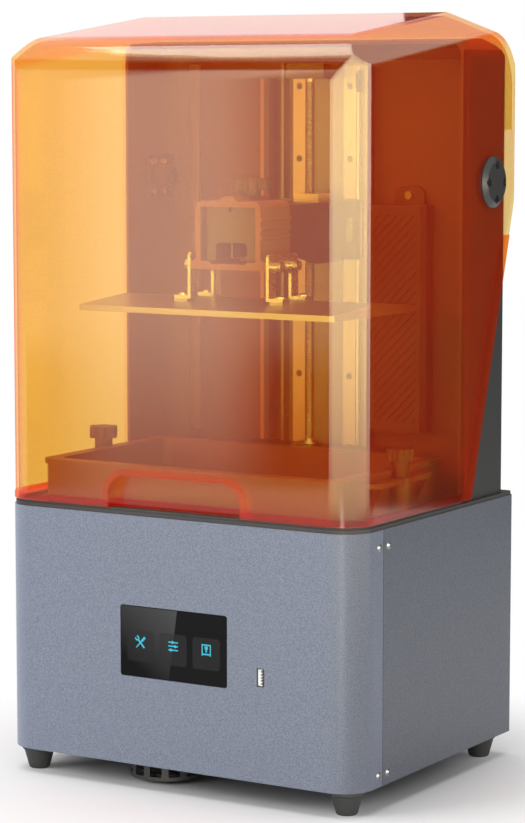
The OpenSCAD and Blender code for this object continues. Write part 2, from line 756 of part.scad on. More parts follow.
module tower_shell() {
    color([0.22, 0.22, 0.235]) difference() {
        intersection() {
            along_x(-tower_hw, tower_hw) polygon(tower_side(0));
            along_y(tower_y0 - 1, tower_rear_y + 1) tower_front(0);
        }
        intersection() {
            along_x(-tower_hw, tower_hw) polygon(tower_side(tower_t));
            along_y(tower_y0 - 20, wall_y + 1) tower_front(tower_t);
            translate([0, 0, tower_z0 - 20]) linear_extrude(tower_top_z) rounded_outline(
                [[-tower_hw + tower_t, tower_y0 - 20], [tower_hw - tower_t, tower_y0 - 20],
                [tower_hw - tower_t, wall_y], [-tower_hw + tower_t, wall_y]],
                [0.5, 0.5, tower_in_r, tower_in_r]);
        }
        // flat seats for the hinge hubs
        both_sides() block(hub_x1 - 26, hub_x1, hinge_y - hub_plate / 2 - 1, hinge_y + hub_plate / 2 - 4,
            hinge_z - hub_plate / 2 - 1, hinge_z + hub_plate / 2 + 1);
        rod_x(-hw, hw, hinge_y, hinge_z, hinge_shaft_r + pass_gap);
        // cable pass to the filter fan and limit switch
        rod_y(wall_y - 1, tower_rear_y + 1, filter_x - 6, filter_z0 + 28, 5);
    }
}

module tower_rear_cover() {
    rear_top_y = tower_rear_y + 3;
    cover_top = tower_top_z - 26;
    cover_hw = tower_hw - cover_inset;
    color([0.2, 0.2, 0.215]) difference() {
        along_x(-cover_hw, cover_hw) polygon([[tower_rear_y, tower_z0], [hd, tower_z0],
            [rear_top_y, cover_top], [tower_rear_y, cover_top]]);
        along_x(-cover_hw + tower_t, cover_hw - tower_t) polygon([[tower_rear_y - 1, tower_z0 + tower_t],
            [hd - tower_t, tower_z0 + tower_t], [tower_rear_y + 0.6, cover_top - tower_t],
            [tower_rear_y - 1, cover_top - tower_t]]);
    }
}

base_block_hw = column_hw + 23;
bearing_r = 11.05;

module z_base_block() {
    color([0.3, 0.3, 0.32]) difference() {
        rounded_slab(-base_block_hw, base_block_hw, vat_y1 + 4, wall_y, deck_z, base_block_z, 3);
        // clearance for rails and column
        block(-column_hw - pass_gap, column_hw + pass_gap, rail_y0 - 3, wall_y + 1, rail_z0 - pass_gap,
            vat_z1);
        rod_z(deck_z - 1, vat_z1 + 1, 0, screw_y, screw_r + 1);
        rod_z(vat_z1 - 8, vat_z1 + 1, 0, screw_y, bearing_r);
    }
    // bearing that carries the lead screw
    color("silver") difference() {
        rod_z(vat_z1 - 8, vat_z1, 0, screw_y, bearing_r);
        rod_z(vat_z1 - 9, vat_z1 + 1, 0, screw_y, screw_r + run_fit);
    }
}

module z_column() {
    color([0.42, 0.43, 0.45]) {
        block(-column_hw, column_hw, column_face, wall_y, rail_z0, rail_z1 + 2);
        // folded edges
        both_sides() block(column_hw - column_lip, column_hw, rail_y0 - 1, column_face + eps,
            rail_z0, rail_z1 + 2);
    }
}

rail_hole_z = rail_z0 + 14.4;
rail_count = floor((rail_z1 - rail_hole_z) / rail_pitch) + 1;

module linear_rails() {
    color([0.78, 0.79, 0.8]) both_sides() difference() {
        along_z_section(rail_z0, rail_z1) translate([rail_x, 0]) polygon([
            [-rail_w / 2, column_face], [-rail_w / 2, rail_y0 + 5.2], [-rail_w / 2 + 1.2, rail_y0 + 4.2],
            [-rail_w / 2 + 1.2, rail_y0 + 3], [-rail_w / 2, rail_y0 + 2], [-rail_w / 2, rail_y0],
            [rail_w / 2, rail_y0], [rail_w / 2, rail_y0 + 2], [rail_w / 2 - 1.2, rail_y0 + 3],
            [rail_w / 2 - 1.2, rail_y0 + 4.2], [rail_w / 2, rail_y0 + 5.2], [rail_w / 2, column_face]]);
        for (i = [0 : rail_count - 1])
            rod_y(rail_y0 - 1, rail_y0 + 4.5, rail_x, rail_hole_z + i * rail_pitch, 3);
    }
}

module along_z_section(z0, z1) {
    translate([0, 0, z0]) linear_extrude(z1 - z0) children();
}

module rail_screws() {
    color([0.35, 0.35, 0.37]) both_sides() for (i = [0 : rail_count - 1])
        difference() {
            rod_y(rail_y0 + 1, rail_y0 + 4.5, rail_x, rail_hole_z + i * rail_pitch, 2.9);
            translate([rail_x, rail_y0 + 0.5, rail_hole_z + i * rail_pitch]) rotate([-90, 0, 0])
                cylinder(h = 2.2, r = 1.4, $fn = 6);
        }
}

coupler_z0 = base_z1 - 42;

module lead_screw() {
    color([0.75, 0.75, 0.76]) {
        rod_z(coupler_z0 + 15, rail_z1 - 0.5, 0, screw_y, screw_r);
        // the collar that sits on the bearing
        rod_z(vat_z1 + 0.3, vat_z1 + 3.3, 0, screw_y, 7);
    }
}

module shaft_coupler() {
    color([0.7, 0.71, 0.73]) difference() {
        rod_z(coupler_z0, coupler_z0 + 30, 0, screw_y, 9.5);
        rod_z(coupler_z0 + 15, coupler_z0 + 31, 0, screw_y, screw_r);
        rod_z(coupler_z0 - 1, coupler_z0 + 15 + eps, 0, screw_y, 2.5);
        // spiral relief shown as three slots
        for (i = [0 : 2]) translate([0, screw_y, coupler_z0 + 11 + i * 4]) rotate([0, 0, i * 120])
            translate([2.6, -12, 0]) cube([12, 24, 1]);
    }
}

module z_motor() {
    z1 = coupler_z0 - 4;
    color([0.13, 0.13, 0.14]) difference() {
        rounded_slab(-motor_side / 2, motor_side / 2, screw_y - motor_side / 2,
            screw_y + motor_side / 2, z1 - 40, z1, 4);
        for (sx = [-1, 1], sy = [-1, 1])
            rod_z(z1 - 5, z1 + 1, sx * 0.366 * motor_side, screw_y + sy * 0.366 * motor_side, 1.5);
    }
    color("silver") {
        rod_z(z1 - eps, z1 + 2, 0, screw_y, 11);
        rod_z(z1 + 2 - eps, coupler_z0 + 14, 0, screw_y, 2.5 - run_fit);
    }
    // bracket that hangs the motor from the deck
    color([0.5, 0.5, 0.52]) {
        difference() {
            block(-motor_side / 2 - 4, motor_side / 2 + 4, screw_y - motor_side / 2,
                screw_y + motor_side / 2, z1, z1 + 3);
            rod_z(z1 - 1, z1 + 4, 0, screw_y, 11);
        }
        both_sides() block(motor_side / 2 + 1, motor_side / 2 + 4, screw_y - motor_side / 2,
            screw_y + motor_side / 2, z1 + 3 - eps, base_z1);
    }
}

module top_bearing_block() {
    color([0.3, 0.3, 0.32]) difference() {
        block(-18, 18, screw_y - 9, column_face, rail_z1 - 11, rail_z1 + 1);
        both_sides() block(rail_x - rail_w / 2 - pass_gap, rail_x + rail_w, rail_y0 - pass_gap,
            column_face + 1, rail_z1 - 12, rail_z1 + 2);
        rod_z(rail_z1 - 12, rail_z1 + 0.2, 0, screw_y, screw_r + run_fit);
    }
}

module limit_switch() {
    x1 = column_hw - column_lip;
    z0 = rail_z1 - 22;
    color([0.15, 0.15, 0.16]) block(x1 - 8, x1, column_face - 7, column_face, z0, z0 + 18);
    // spring lever
    color("gold") block(x1 - 6, x1 - 4, column_face - 14, column_face - 7 + eps, z0 + 2, z0 + 16);
}

module cable_duct() {
    x0 = -base_block_hw + 0.5;
    x1 = x0 + 8.5;
    color([0.3, 0.3, 0.32]) along_z_section(base_block_z, tower_top_z - 32)
        polygon([[x0, wall_y], [x0, wall_y - 10], [x0 + 2.5, wall_y - 14], [x1 - 2.5, wall_y - 14],
            [x1, wall_y - 10], [x1, wall_y]]);
}

module air_filter_box() {
    groove_pitch = 8.2;
    y0 = wall_y - filter_t;
    groove_count = floor((filter_x1 - filter_x0 + filter_z1 - filter_z0) / groove_pitch) - 2;
    color([0.24, 0.24, 0.26]) difference() {
        union() {
            along_z_section(filter_z0, filter_z1) polygon([[filter_x0, wall_y], [filter_x0, y0 + 2],
                [filter_x0 + 2, y0], [filter_x1 - 4, y0], [filter_x1, y0 + 4], [filter_x1, wall_y]]);
            // rounded ear for the fixing screw
            along_y(wall_y - 4, wall_y)
                rounded_rect(filter_x - 14, filter_x + 14, filter_z1 - 10, filter_z1 + 16, 9);
        }
        // diagonal louvres on the front
        intersection() {
            for (i = [0 : groove_count])
                translate([filter_x0 - 2, y0 - 1, filter_z0 + 6 + i * groove_pitch - 45])
                    rotate([0, -45, 0]) cube([90, 2.4, 2.6]);
            block(filter_x0 + 6, filter_x1 - 7, y0 - 2, y0 + 3, filter_z0 + 8, filter_z1 - 8);
        }
        rod_y(wall_y - 5, wall_y + 1, filter_x, filter_z1 + 8, 1.8);
    }
}

module filter_screw() {
    color("gold") {
        rod_y(wall_y - 6.5, wall_y - 4, filter_x, filter_z1 + 8, 3.4);
        rod_y(wall_y - 4 - eps, wall_y, filter_x, filter_z1 + 8, 1.75);
    }
}

// ---------- hood ----------
// side outline of the closed hood body, moved inward by t
module hood_side(t) {
    outer = [[-hood_hd, hood_z0 - 30], [hood_hd, hood_z0 - 30], [hood_hd, rear_edge_z],
        [ridge_y, ridge_z], [-hood_hd + 20, front_brow_z], [-hood_hd, front_brow_z - 22]];
    rounded_outline(inset(outer, t), [0, 0, 45 - t, 0, brow_r - t, brow_r - t]);
}

module hood_section(t) {
    x = hood_hw - t + 0.04;
    rounded_outline([[-x, -500], [x, -500], [x, -slope_fall - t * 0.6], [x - slope_w + t * 0.6, -t],
        [-x + slope_w - t * 0.6, -t], [-x, -slope_fall - t * 0.6]], [0, 0, 4, 4, 4, 4]);
}

// Plan outline moved inward by t. Its front and back stand a hair outside the side outline, which
// gives those faces; the inner one runs on past the back, so that only the side outline closes it.
module hood_plan(t) {
    y0 = -hood_hd + t - 0.04;
    y1 = t > 0 ? hood_hd + 20 : hood_hd + 0.04;
    back_r = t > 0 ? 0 : rear_r;
    corner_r = t > 0 ? front_r - t - 1 : front_r;
    rounded_outline([[-hood_hw + t, y0], [hood_hw - t, y0], [hood_hw - t, y1], [-hood_hw + t, y1]],
        [corner_r, corner_r, back_r, back_r]);
}

// closed body of the hood, moved inward by t
module hood_body(t) {
    intersection() {
        translate([0, 0, hood_z0 - 30]) linear_extrude(500) hood_plan(t);
        along_x(-hw - 1, hw + 1) hood_side(t);
        translate([0, ridge_y, ridge_z]) rotate([roof_rise, 0, 0]) along_y(-300, 300) hood_section(t);
    }
}

// what lies behind and below the leaning rear edge of the side panels
module behind_rear_edge() {
    along_x(-hw - 2, hw + 2) polygon([[rear_foot_y, hood_z0], [rear_foot_y, hood_z0 - 40],
        [hd + 40, hood_z0 - 40], [hd + 40, rear_break_z], [hood_hd, rear_break_z]]);
}

module pocket_outline(grow) {
    rounded_outline([[-pocket_hw - grow, hood_z0 - 40], [pocket_hw + grow, hood_z0 - 40],
        [pocket_hw + grow, hood_z0 + pocket_h + grow * 0.9],
        [-pocket_hw - grow, hood_z0 + pocket_h + grow * 0.9]], [0, 0, 17 + grow, 17 + grow]);
}

module hood_shell() {
    color([1, 0.5, 0.1, 0.5]) difference() {
        union() {
            difference() {
                hood_body(0);
                hood_body(hood_t);
                // open back for the tower
                block(-hood_hw + hood_t, hood_hw - hood_t, hinge_y, hd + 10, hood_z0 - 31, back_open_z);
            }
            // bottom rim
            translate([0, 0, hood_z0]) linear_extrude(rim_h) difference() {
                body_outline(0);
                hood_plan(hood_t + 0.01);
            }
            // walls and bead of the finger pocket
            intersection() {
                along_y(-hd, -hd + pocket_depth + 2.5) pocket_outline(2.5);
                translate([0, 0, hood_z0]) cube([400, 400, 200], center = true);
            }
            along_y(-hd, -hood_hd + hood_t) pocket_outline(bead_w);
            // stiffening rims along the leaning rear edges, cut to length with the panels below
            both_sides() along_x(hood_hw - hood_t / 2, hw) polygon([[rear_foot_y - edge_rim_w, hood_z0],
                [rear_foot_y + hood_t, hood_z0], [edge_rim_y + hood_t, edge_rim_z],
                [edge_rim_y - edge_rim_w, edge_rim_z]]);
        }
        along_y(-hd - 1, -hd + pocket_depth) pocket_outline(0);
        translate([0, 0, hood_z0 - 50]) cube([600, 600, 100], center = true);
        behind_rear_edge();
        rod_x(-hw, hw, hinge_y, hinge_z, hinge_shaft_r + pass_gap);
    }
}

// ---------- hood hinges ----------
hub_len = 14;
hub_x1 = tower_hw - tower_t;

module hinge_hub() {
    difference() {
        union() {
            along_x(hub_x1 - 3, hub_x1) rounded_rect(hinge_y - hub_plate / 2, hinge_y + hub_plate / 2 - 12,
                hinge_z - hub_plate / 2, hinge_z + hub_plate / 2, 3);
            rod_x(hub_x1 - hub_len, hub_x1, hinge_y, hinge_z, 10);
        }
        rod_x(hub_x1 - hub_len - 1, hub_x1 + 1, hinge_y, hinge_z, hinge_shaft_r + run_fit);
    }
}

module hinge_hub_left() { color([0.45, 0.4, 0.36]) mirror([1, 0, 0]) hinge_hub(); }
module hinge_hub_right() { color([0.45, 0.4, 0.36]) hinge_hub(); }

module hub_screws() {
    color("gold") both_sides() for (dy = [-14, 2], dz = [-13, 13])
        rod_x(hub_x1 - 5.5, hub_x1 - 3, hinge_y + dy, hinge_z + dz, 2.8);
}

cap_screw_ring = hinge_cap_r - 7;
cap_recess = 2.6;

module hinge_cap() {
    bevel = hinge_cap_t - 1;
    difference() {
        union() {
            translate([hood_hw, hinge_y, hinge_z]) rotate([0, 90, 0]) rotate_extrude()
                polygon([[0, 0], [hinge_cap_r, 0], [hinge_cap_r, hinge_cap_t - bevel],
                    [hinge_cap_r - bevel * 1.5, hinge_cap_t], [0, hinge_cap_t]]);
            rod_x(hub_x1 - hub_len + 1, hood_hw + eps, hinge_y, hinge_z, hinge_shaft_r);
        }
        for (a = [0, 90, 180, 270])
            translate([hood_hw + hinge_cap_t - cap_recess, hinge_y, hinge_z]) rotate([a, 0, 0])
                translate([0, cap_screw_ring, 0]) rotate([0, 90, 0]) cylinder(h = 5, r = 3.4);
    }
}

module hinge_cap_left() { color([0.25, 0.25, 0.26]) mirror([1, 0, 0]) hinge_cap(); }
module hinge_cap_right() { color([0.25, 0.25, 0.26]) hinge_cap(); }

module cap_screws() {
    color([0.5, 0.5, 0.52]) both_sides() for (a = [0, 90, 180, 270])
        translate([hood_hw + hinge_cap_t - cap_recess, hinge_y, hinge_z]) rotate([a, 0, 0])
            translate([0, cap_screw_ring, 0]) rotate([0, 90, 0]) difference() {
                cylinder(h = 2, r = 2.7);
                translate([0, 0, 0.8]) cylinder(h = 2, r = 1.4, $fn = 6);
            }
}

// ---------- carriage ----------
module rail_blocks() {
    color([0.7, 0.71, 0.72]) both_sides() difference() {
        block(rail_x - rail_w / 2 - block_side, rail_x + rail_w / 2 + block_side, block_y0,
            column_face - 2, block_z0, block_z1);
        block(rail_x - rail_w / 2 - pass_gap, rail_x + rail_w / 2 + pass_gap, rail_y0 - pass_gap,
            column_face, block_z0 - 1, block_z1 + 1);
    }
}

module carriage_plate() {
    color([0.2, 0.2, 0.21]) difference() {
        block(-column_hw + 4, column_hw - 4, carriage_y0, block_y0, block_z0 - 2, arm_top_z + 2);
        // weight-saving windows beside the arm
        both_sides() block(arm_hw + 4, column_hw - 8, carriage_y0 - 1, block_y0 + 1, block_z0 + 12,
            block_z1 - 12);
    }
}

module lead_nut() {
    color([0.75, 0.6, 0.3]) difference() {
        union() {
            block(-12, 12, screw_y - 6.5, carriage_y0, arm_top_z - 1, arm_top_z + 7);
            rod_z(arm_top_z - 22, arm_top_z - 1 + eps, 0, screw_y, 8);
        }
        rod_z(arm_top_z - 23, arm_top_z + 8, 0, screw_y, screw_r + run_fit);
    }
}

module z_arm() {
    front = sleeve_y0 + 5.5;
    side_t = 3.5;
    low = window_z0 + 1;
    color([0.17, 0.17, 0.18]) difference() {
        union() {
            // two cheeks that deepen towards the carriage
            both_sides() along_x(arm_hw - side_t, arm_hw) polygon([[front, low],
                [sleeve_y1 + 25, low], [carriage_y0 - 42, block_z0 - 4], [carriage_y0, block_z0 - 4],
                [carriage_y0, arm_top_z], [front, arm_top_z]]);
            block(-arm_hw, arm_hw, front, screw_y - 14, arm_top_z - 5, arm_top_z);
            // nose plate with its arched opening
            block(-arm_hw, arm_hw, front, front + 4, low, arm_top_z);
            block(-1, 1, front + 4 - eps, knob_y - 12, low + 3, arm_top_z - 5 + eps);
        }
        along_y(front - 1, front + 4 + eps) {
            rounded_rect(-14.5, 14.5, low - 10, low + 14, 3);
            translate([-2.6, arm_top_z - 4]) square([5.6, 6]);
        }
        rod_z(arm_top_z - 8, arm_top_z + 1, 0, knob_y, 4 + run_fit);
    }
    color([0.17, 0.17, 0.18]) block(-1, 1, front + 0.8, front + 4, low + 2, low + 14.5);
}

module clamp_sleeve() {
    color([0.72, 0.72, 0.73]) difference() {
        along_y(sleeve_y0, sleeve_y1) difference() {
            union() {
                rounded_outline([[-sleeve_hw, flange_z0 + 1], [sleeve_hw, flange_z0 + 1],
                    [sleeve_hw, sleeve_top_z], [-sleeve_hw, sleeve_top_z]], [0, 0, 6, 6]);
                translate([-flange_hw, flange_z0]) square([2 * flange_hw, flange_t]);
                // ridge under the knob
                polygon([[-10, sleeve_top_z - 1], [10, sleeve_top_z - 1], [4.8, sleeve_top_z + bump_h],
                    [-4.8, sleeve_top_z + bump_h]]);
                // grip ribs on both sides
                for (sx = [-1, 1], i = [0 : 2])
                    translate([sx * sleeve_hw, arm_top_z - 9.5 - i * 7.5]) circle(1.6);
                // fillets on the foot flange
                for (sx = [-1, 1]) difference() {
                    translate([sx * (sleeve_hw + 2), window_z0 + 2]) square(4, center = true);
                    translate([sx * (sleeve_hw + 4), window_z0 + 4]) circle(4);
                }
            }
            translate([-sleeve_hw + sleeve_t, window_z0]) square([2 * (sleeve_hw - sleeve_t), window_h]);
            polygon([[-19, window_z0 + 1], [19, window_z0 + 1], [16, window_z0 - 2], [-16, window_z0 - 2]]);
        }
        rod_z(arm_top_z - 1, sleeve_top_z + bump_h + 1, 0, knob_y, 4 + run_fit);
    }
}

module lobed_head(z0, z1, r, lobes) {
    core = r * 0.84;
    rod_z(z0, z1, 0, 0, core);
    for (i = [0 : lobes - 1]) rotate([0, 0, i * 360 / lobes])
        rod_z(z0, z1, core - r * 0.1, 0, r * 0.26);
}

module clamp_knob() {
    color([0.13, 0.13, 0.14]) translate([0, knob_y, 0]) {
        lobed_head(knob_seat_z + 4.5, knob_seat_z + 13.5, knob_r, 8);
        rod_z(knob_seat_z, knob_seat_z + 4.5 + eps, 0, 0, 10.5);
        rod_z(arm_top_z - 7, knob_seat_z + eps, 0, 0, 4);
    }
}

bracket_cap_y = [sleeve_y0 + 10, sleeve_y1 - 10];
bracket_foot_x = flange_hw + bracket_t + bracket_foot / 2 + 1;

module bracket() {
    color([0.8, 0.78, 0.72]) difference() {
        union() {
            along_x(flange_hw, flange_hw + bracket_t) difference() {
                rounded_outline([[sleeve_y0, pad_z], [sleeve_y1, pad_z], [sleeve_y1, bracket_top_z],
                    [sleeve_y0, bracket_top_z]], [0, 0, 3, 3]);
                rounded_outline([[sleeve_y0 + bracket_leg, pad_z - 5], [sleeve_y1 - bracket_leg, pad_z - 5],
                    [sleeve_y1 - bracket_leg, pad_z + 24], [sleeve_y0 + bracket_leg, pad_z + 24]],
                    [0, 0, 4, 4]);
            }
            for (y = [sleeve_y0, sleeve_y1 - bracket_leg])
                block(flange_hw, flange_hw + bracket_t + bracket_foot, y, y + bracket_leg, pad_z,
                    pad_z + bracket_t);
        }
        for (y = bracket_cap_y)
            rod_x(flange_hw - 1, flange_hw + 4, y, flange_z0 + flange_t / 2, 2.1);
        for (y = [sleeve_y0, sleeve_y1 - bracket_leg])
            rod_z(pad_z - 1, pad_z + 4, bracket_foot_x, y + bracket_leg / 2, 1.8);
    }
}

module bracket_left() { mirror([1, 0, 0]) bracket(); }
module bracket_right() { bracket(); }

module bracket_screws() {
    color([0.85, 0.8, 0.7]) both_sides() {
        for (y = bracket_cap_y) difference() {
            rod_x(flange_hw + bracket_t, flange_hw + bracket_t + 7, y, flange_z0 + flange_t / 2, 4);
            translate([flange_hw + bracket_t + 4, y, flange_z0 + flange_t / 2]) rotate([0, 90, 0])
                cylinder(h = 5, r = 2, $fn = 6);
        }
        for (y = [sleeve_y0, sleeve_y1 - bracket_leg])
            translate([bracket_foot_x, y + bracket_leg / 2, pad_z + bracket_t]) difference() {
                intersection() {
                    translate([0, 0, -3]) sphere(5.6);
                    cylinder(h = 4, r = 3.8);
                }
                translate([0, 0, 1.2]) cylinder(h = 3, r = 1.3, $fn = 6);
            }
    }
}

module build_plate() {
    y0 = plate_cy - plate_d / 2;
    y1 = plate_cy + plate_d / 2;
    color([0.33, 0.33, 0.35]) union() {
        along_x(-plate_w / 2, plate_w / 2) polygon([[y0, plate_z], [y1, plate_z], [y1, plate_top_z],
            [plate_cy, plate_top_z + plate_rise], [y0, plate_top_z]]);
        // level pads under the bracket feet
        both_sides() for (y = [sleeve_y0, sleeve_y1 - bracket_leg])
            block(flange_hw + bracket_t + 0.5, flange_hw + bracket_t + bracket_foot, y, y + bracket_leg,
                plate_z + 1, pad_z);
    }
}

// ---------- resin vat ----------
post_shoulder_r = 8.5;

module vat_tray() {
    color([0.28, 0.28, 0.3]) difference() {
        union() {
            rounded_slab(-vat_hw, vat_hw, vat_y0, vat_y1, vat_z0, vat_z1 - 4, 10);
            rounded_slab(-vat_hw - 2, vat_hw + 2, vat_y0 - 1.5, vat_y1 + 1.5, vat_z1 - 4, vat_z1, 11);
            both_sides() {
                // clamping lug with gusseted ends
                along_z_section(lug_z - 4, lug_z) translate([vat_hw, thumb_y])
                    polygon([[-2, -lug_hl], [12, 8 - lug_hl], [12, lug_hl - 8], [-2, lug_hl]]);
                for (y = [10 - lug_hl, lug_hl - 13]) along_y(thumb_y + y, thumb_y + y + 3)
                    polygon([[vat_hw - 2, lug_z - 4 + eps], [vat_hw + 11, lug_z - 4 + eps],
                        [vat_hw + 1, vat_z0 + 6], [vat_hw - 2, vat_z0 + 6]]);
                rod_z(vat_z0, lug_z, thumb_x, thumb_y, post_shoulder_r);
            }
        }
        rounded_slab(-vat_hw + vat_wall, vat_hw - vat_wall, vat_y0 + vat_wall, vat_y1 - vat_wall,
            vat_z0 + film_recess, vat_z1 + 1, 8);
        rounded_slab(-vat_hw + 5, vat_hw - 5, vat_y0 + 5, vat_y1 - 5, vat_z0 - 1,
            vat_z0 + film_recess + eps, 6);
        both_sides() {
            rod_z(vat_z0 - 1, lug_z + 1, thumb_x, thumb_y, 3 + run_fit);
            // relief in the rim beside the thumb screw
            rod_z(lug_z, vat_z1 + 1, thumb_x, thumb_y, post_shoulder_r);
        }
    }
}

module film_frame() {
    color([0.6, 0.61, 0.63]) difference() {
        rounded_slab(-vat_hw + 5.2, vat_hw - 5.2, vat_y0 + 5.2, vat_y1 - 5.2, vat_z0 + 1.4,
            vat_z0 + film_recess, 5.8);
        rounded_slab(-vat_hw + 15, vat_hw - 15, vat_y0 + 15, vat_y1 - 11, vat_z0, vat_z0 + 9, 6);
    }
}

module release_film() {
    color([0.85, 0.87, 0.9, 0.4])
        rounded_slab(-vat_hw + 5.4, vat_hw - 5.4, vat_y0 + 5.4, vat_y1 - 5.4, vat_z0 + 1, vat_z0 + 1.4, 5.6);
}

module thumb_screw() {
    head_z = lug_z + 14;
    color([0.12, 0.12, 0.13]) translate([thumb_x, thumb_y, 0]) {
        lobed_head(head_z, head_z + 9.5, thumb_r, 6);
        rod_z(lug_z + pass_gap, head_z + eps, 0, 0, 7.5);
        rod_z(vat_z0 + 3, lug_z + pass_gap + eps, 0, 0, 3);
    }
}

module thumb_screw_left() { mirror([1, 0, 0]) thumb_screw(); }
module thumb_screw_right() { thumb_screw(); }

front_panel();
side_rear_cover();
base_pan();
deck_plate();
lid_seal();
feet();
foot_screws();
panel_screws();
touch_glass();
display_module();
data_port();
mainboard();
power_supply();
led_array();
heat_sink();
light_tunnel();
collimator_lens();
lcd_panel();
fan_housing();
fan_rotor();
bottom_fan_guard();
power_inlet();
switch_housing();
rocker_switch();
tower_shell();
tower_rear_cover();
z_base_block();
z_column();
linear_rails();
rail_screws();
lead_screw();
shaft_coupler();
z_motor();
top_bearing_block();
limit_switch();
cable_duct();
air_filter_box();
filter_screw();
hinge_hub_left();
hinge_hub_right();
hub_screws();
hood_shell();
hinge_cap_left();
hinge_cap_right();
cap_screws();
rail_blocks();
carriage_plate();
lead_nut();
z_arm();
clamp_sleeve();
clamp_knob();
bracket_left();
bracket_right();
bracket_screws();
build_plate();
vat_tray();
film_frame();
release_film();
thumb_screw_left();
thumb_screw_right();
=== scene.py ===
"""Looks of the resin printer: finishes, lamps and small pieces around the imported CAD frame.

Units are metres in the frame of the CAD part: +X right, +Y back, +Z up, floor at z = 0.
"""
import json
import math

import bpy
import bmesh
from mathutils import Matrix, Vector


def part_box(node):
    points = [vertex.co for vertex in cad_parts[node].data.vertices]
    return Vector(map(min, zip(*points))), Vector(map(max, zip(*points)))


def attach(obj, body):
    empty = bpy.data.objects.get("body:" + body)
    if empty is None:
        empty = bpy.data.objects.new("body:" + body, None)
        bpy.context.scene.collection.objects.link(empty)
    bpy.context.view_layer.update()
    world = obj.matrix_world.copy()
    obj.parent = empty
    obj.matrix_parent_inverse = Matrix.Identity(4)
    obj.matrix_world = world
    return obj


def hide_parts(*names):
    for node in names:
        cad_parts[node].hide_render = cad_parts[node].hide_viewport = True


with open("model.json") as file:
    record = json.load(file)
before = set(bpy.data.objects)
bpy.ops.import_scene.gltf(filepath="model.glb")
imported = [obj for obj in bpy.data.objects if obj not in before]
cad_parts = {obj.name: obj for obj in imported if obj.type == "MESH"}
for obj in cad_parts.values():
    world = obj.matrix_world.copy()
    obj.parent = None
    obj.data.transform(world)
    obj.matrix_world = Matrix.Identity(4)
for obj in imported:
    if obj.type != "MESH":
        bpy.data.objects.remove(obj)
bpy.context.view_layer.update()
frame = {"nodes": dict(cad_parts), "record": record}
nodes = frame["nodes"]

MM = 0.001


def put(name, data):
    """Adds an object that holds data to the scene."""
    item = bpy.data.objects.new(name, data)
    bpy.context.scene.collection.objects.link(item)
    return item


# ---------- camera ----------
CAMERA_PLACE = (1.1841, -1.9384, 0.5534)
CAMERA_AZIMUTH = 31.389     # degrees round from the front, towards +X
CAMERA_PITCH = 6.514        # degrees that it looks down
PICTURE_HEIGHT = 823.0      # pixels
FOCAL_LENGTH = 2772.2       # pixels of that picture
SENSOR = 36.0               # mm
FAR_CLIP = 50


def add_camera():
    data = bpy.data.cameras.new("camera")
    data.sensor_width = SENSOR
    data.lens = FOCAL_LENGTH / PICTURE_HEIGHT * SENSOR
    data.clip_end = FAR_CLIP
    camera = put("camera", data)
    camera.location = CAMERA_PLACE
    camera.rotation_euler = (math.radians(90 - CAMERA_PITCH), 0, math.radians(CAMERA_AZIMUTH))
    bpy.context.scene.camera = camera


# ---------- node helpers ----------
class NodeTree:
    """A node tree, with short calls for the nodes that this script uses."""

    def __init__(self, tree, output):
        self.tree = tree
        self.tree.nodes.clear()
        self.out = self.add(output)

    def add(self, kind, **settings):
        node = self.tree.nodes.new(kind)
        for key, value in settings.items():
            setattr(node, key, value)
        return node

    def link(self, source, target):
        self.tree.links.new(source, target)

    def feed(self, value, target):
        """Sets a socket to a plain number, or links another socket to it."""
        if isinstance(value, (int, float)):
            target.default_value = value
        else:
            self.link(value, target)

    def calc(self, operation, *values):
        """Result of a Math node. Each value is a number or a socket."""
        node = self.add("ShaderNodeMath", operation=operation)
        for value, target in zip(values, node.inputs):
            self.feed(value, target)
        return node.outputs[0]

    def product(self, factors):
        """The factors multiplied, or None where there is none."""
        total = None
        for factor in factors:
            total = factor if total is None else self.calc("MULTIPLY", total, factor)
        return total

    def eased(self, value, start, end):
        """0 where value is at start, 1 where it is at end, with a soft slope between."""
        node = self.add("ShaderNodeMapRange", interpolation_type="SMOOTHSTEP")
        node.inputs["From Min"].default_value = start
        node.inputs["From Max"].default_value = end
        self.link(value, node.inputs["Value"])
        return node.outputs["Result"]

    def plain(self, kind, color):
        """A shader node of one colour."""
        node = self.add(kind)
        node.inputs["Color"].default_value = (*color, 1)
        return node

    def mix(self, share, first, second):
        """Two shaders mixed, with share being the second's."""
        node = self.add("ShaderNodeMixShader")
        self.feed(share, node.inputs["Fac"])
        self.link(first.outputs[0], node.inputs[1])
        self.link(second.outputs[0], node.inputs[2])
        return node

    def seen_straight(self):
        """1 for the rays that look straight at a surface: camera, glossy and transmission."""
        path = self.add("ShaderNodeLightPath")
        straight = self.calc("MAXIMUM", path.outputs["Is Camera Ray"],
                             path.outputs["Is Transmission Ray"])
        return self.calc("MAXIMUM", straight, path.outputs["Is Glossy Ray"])


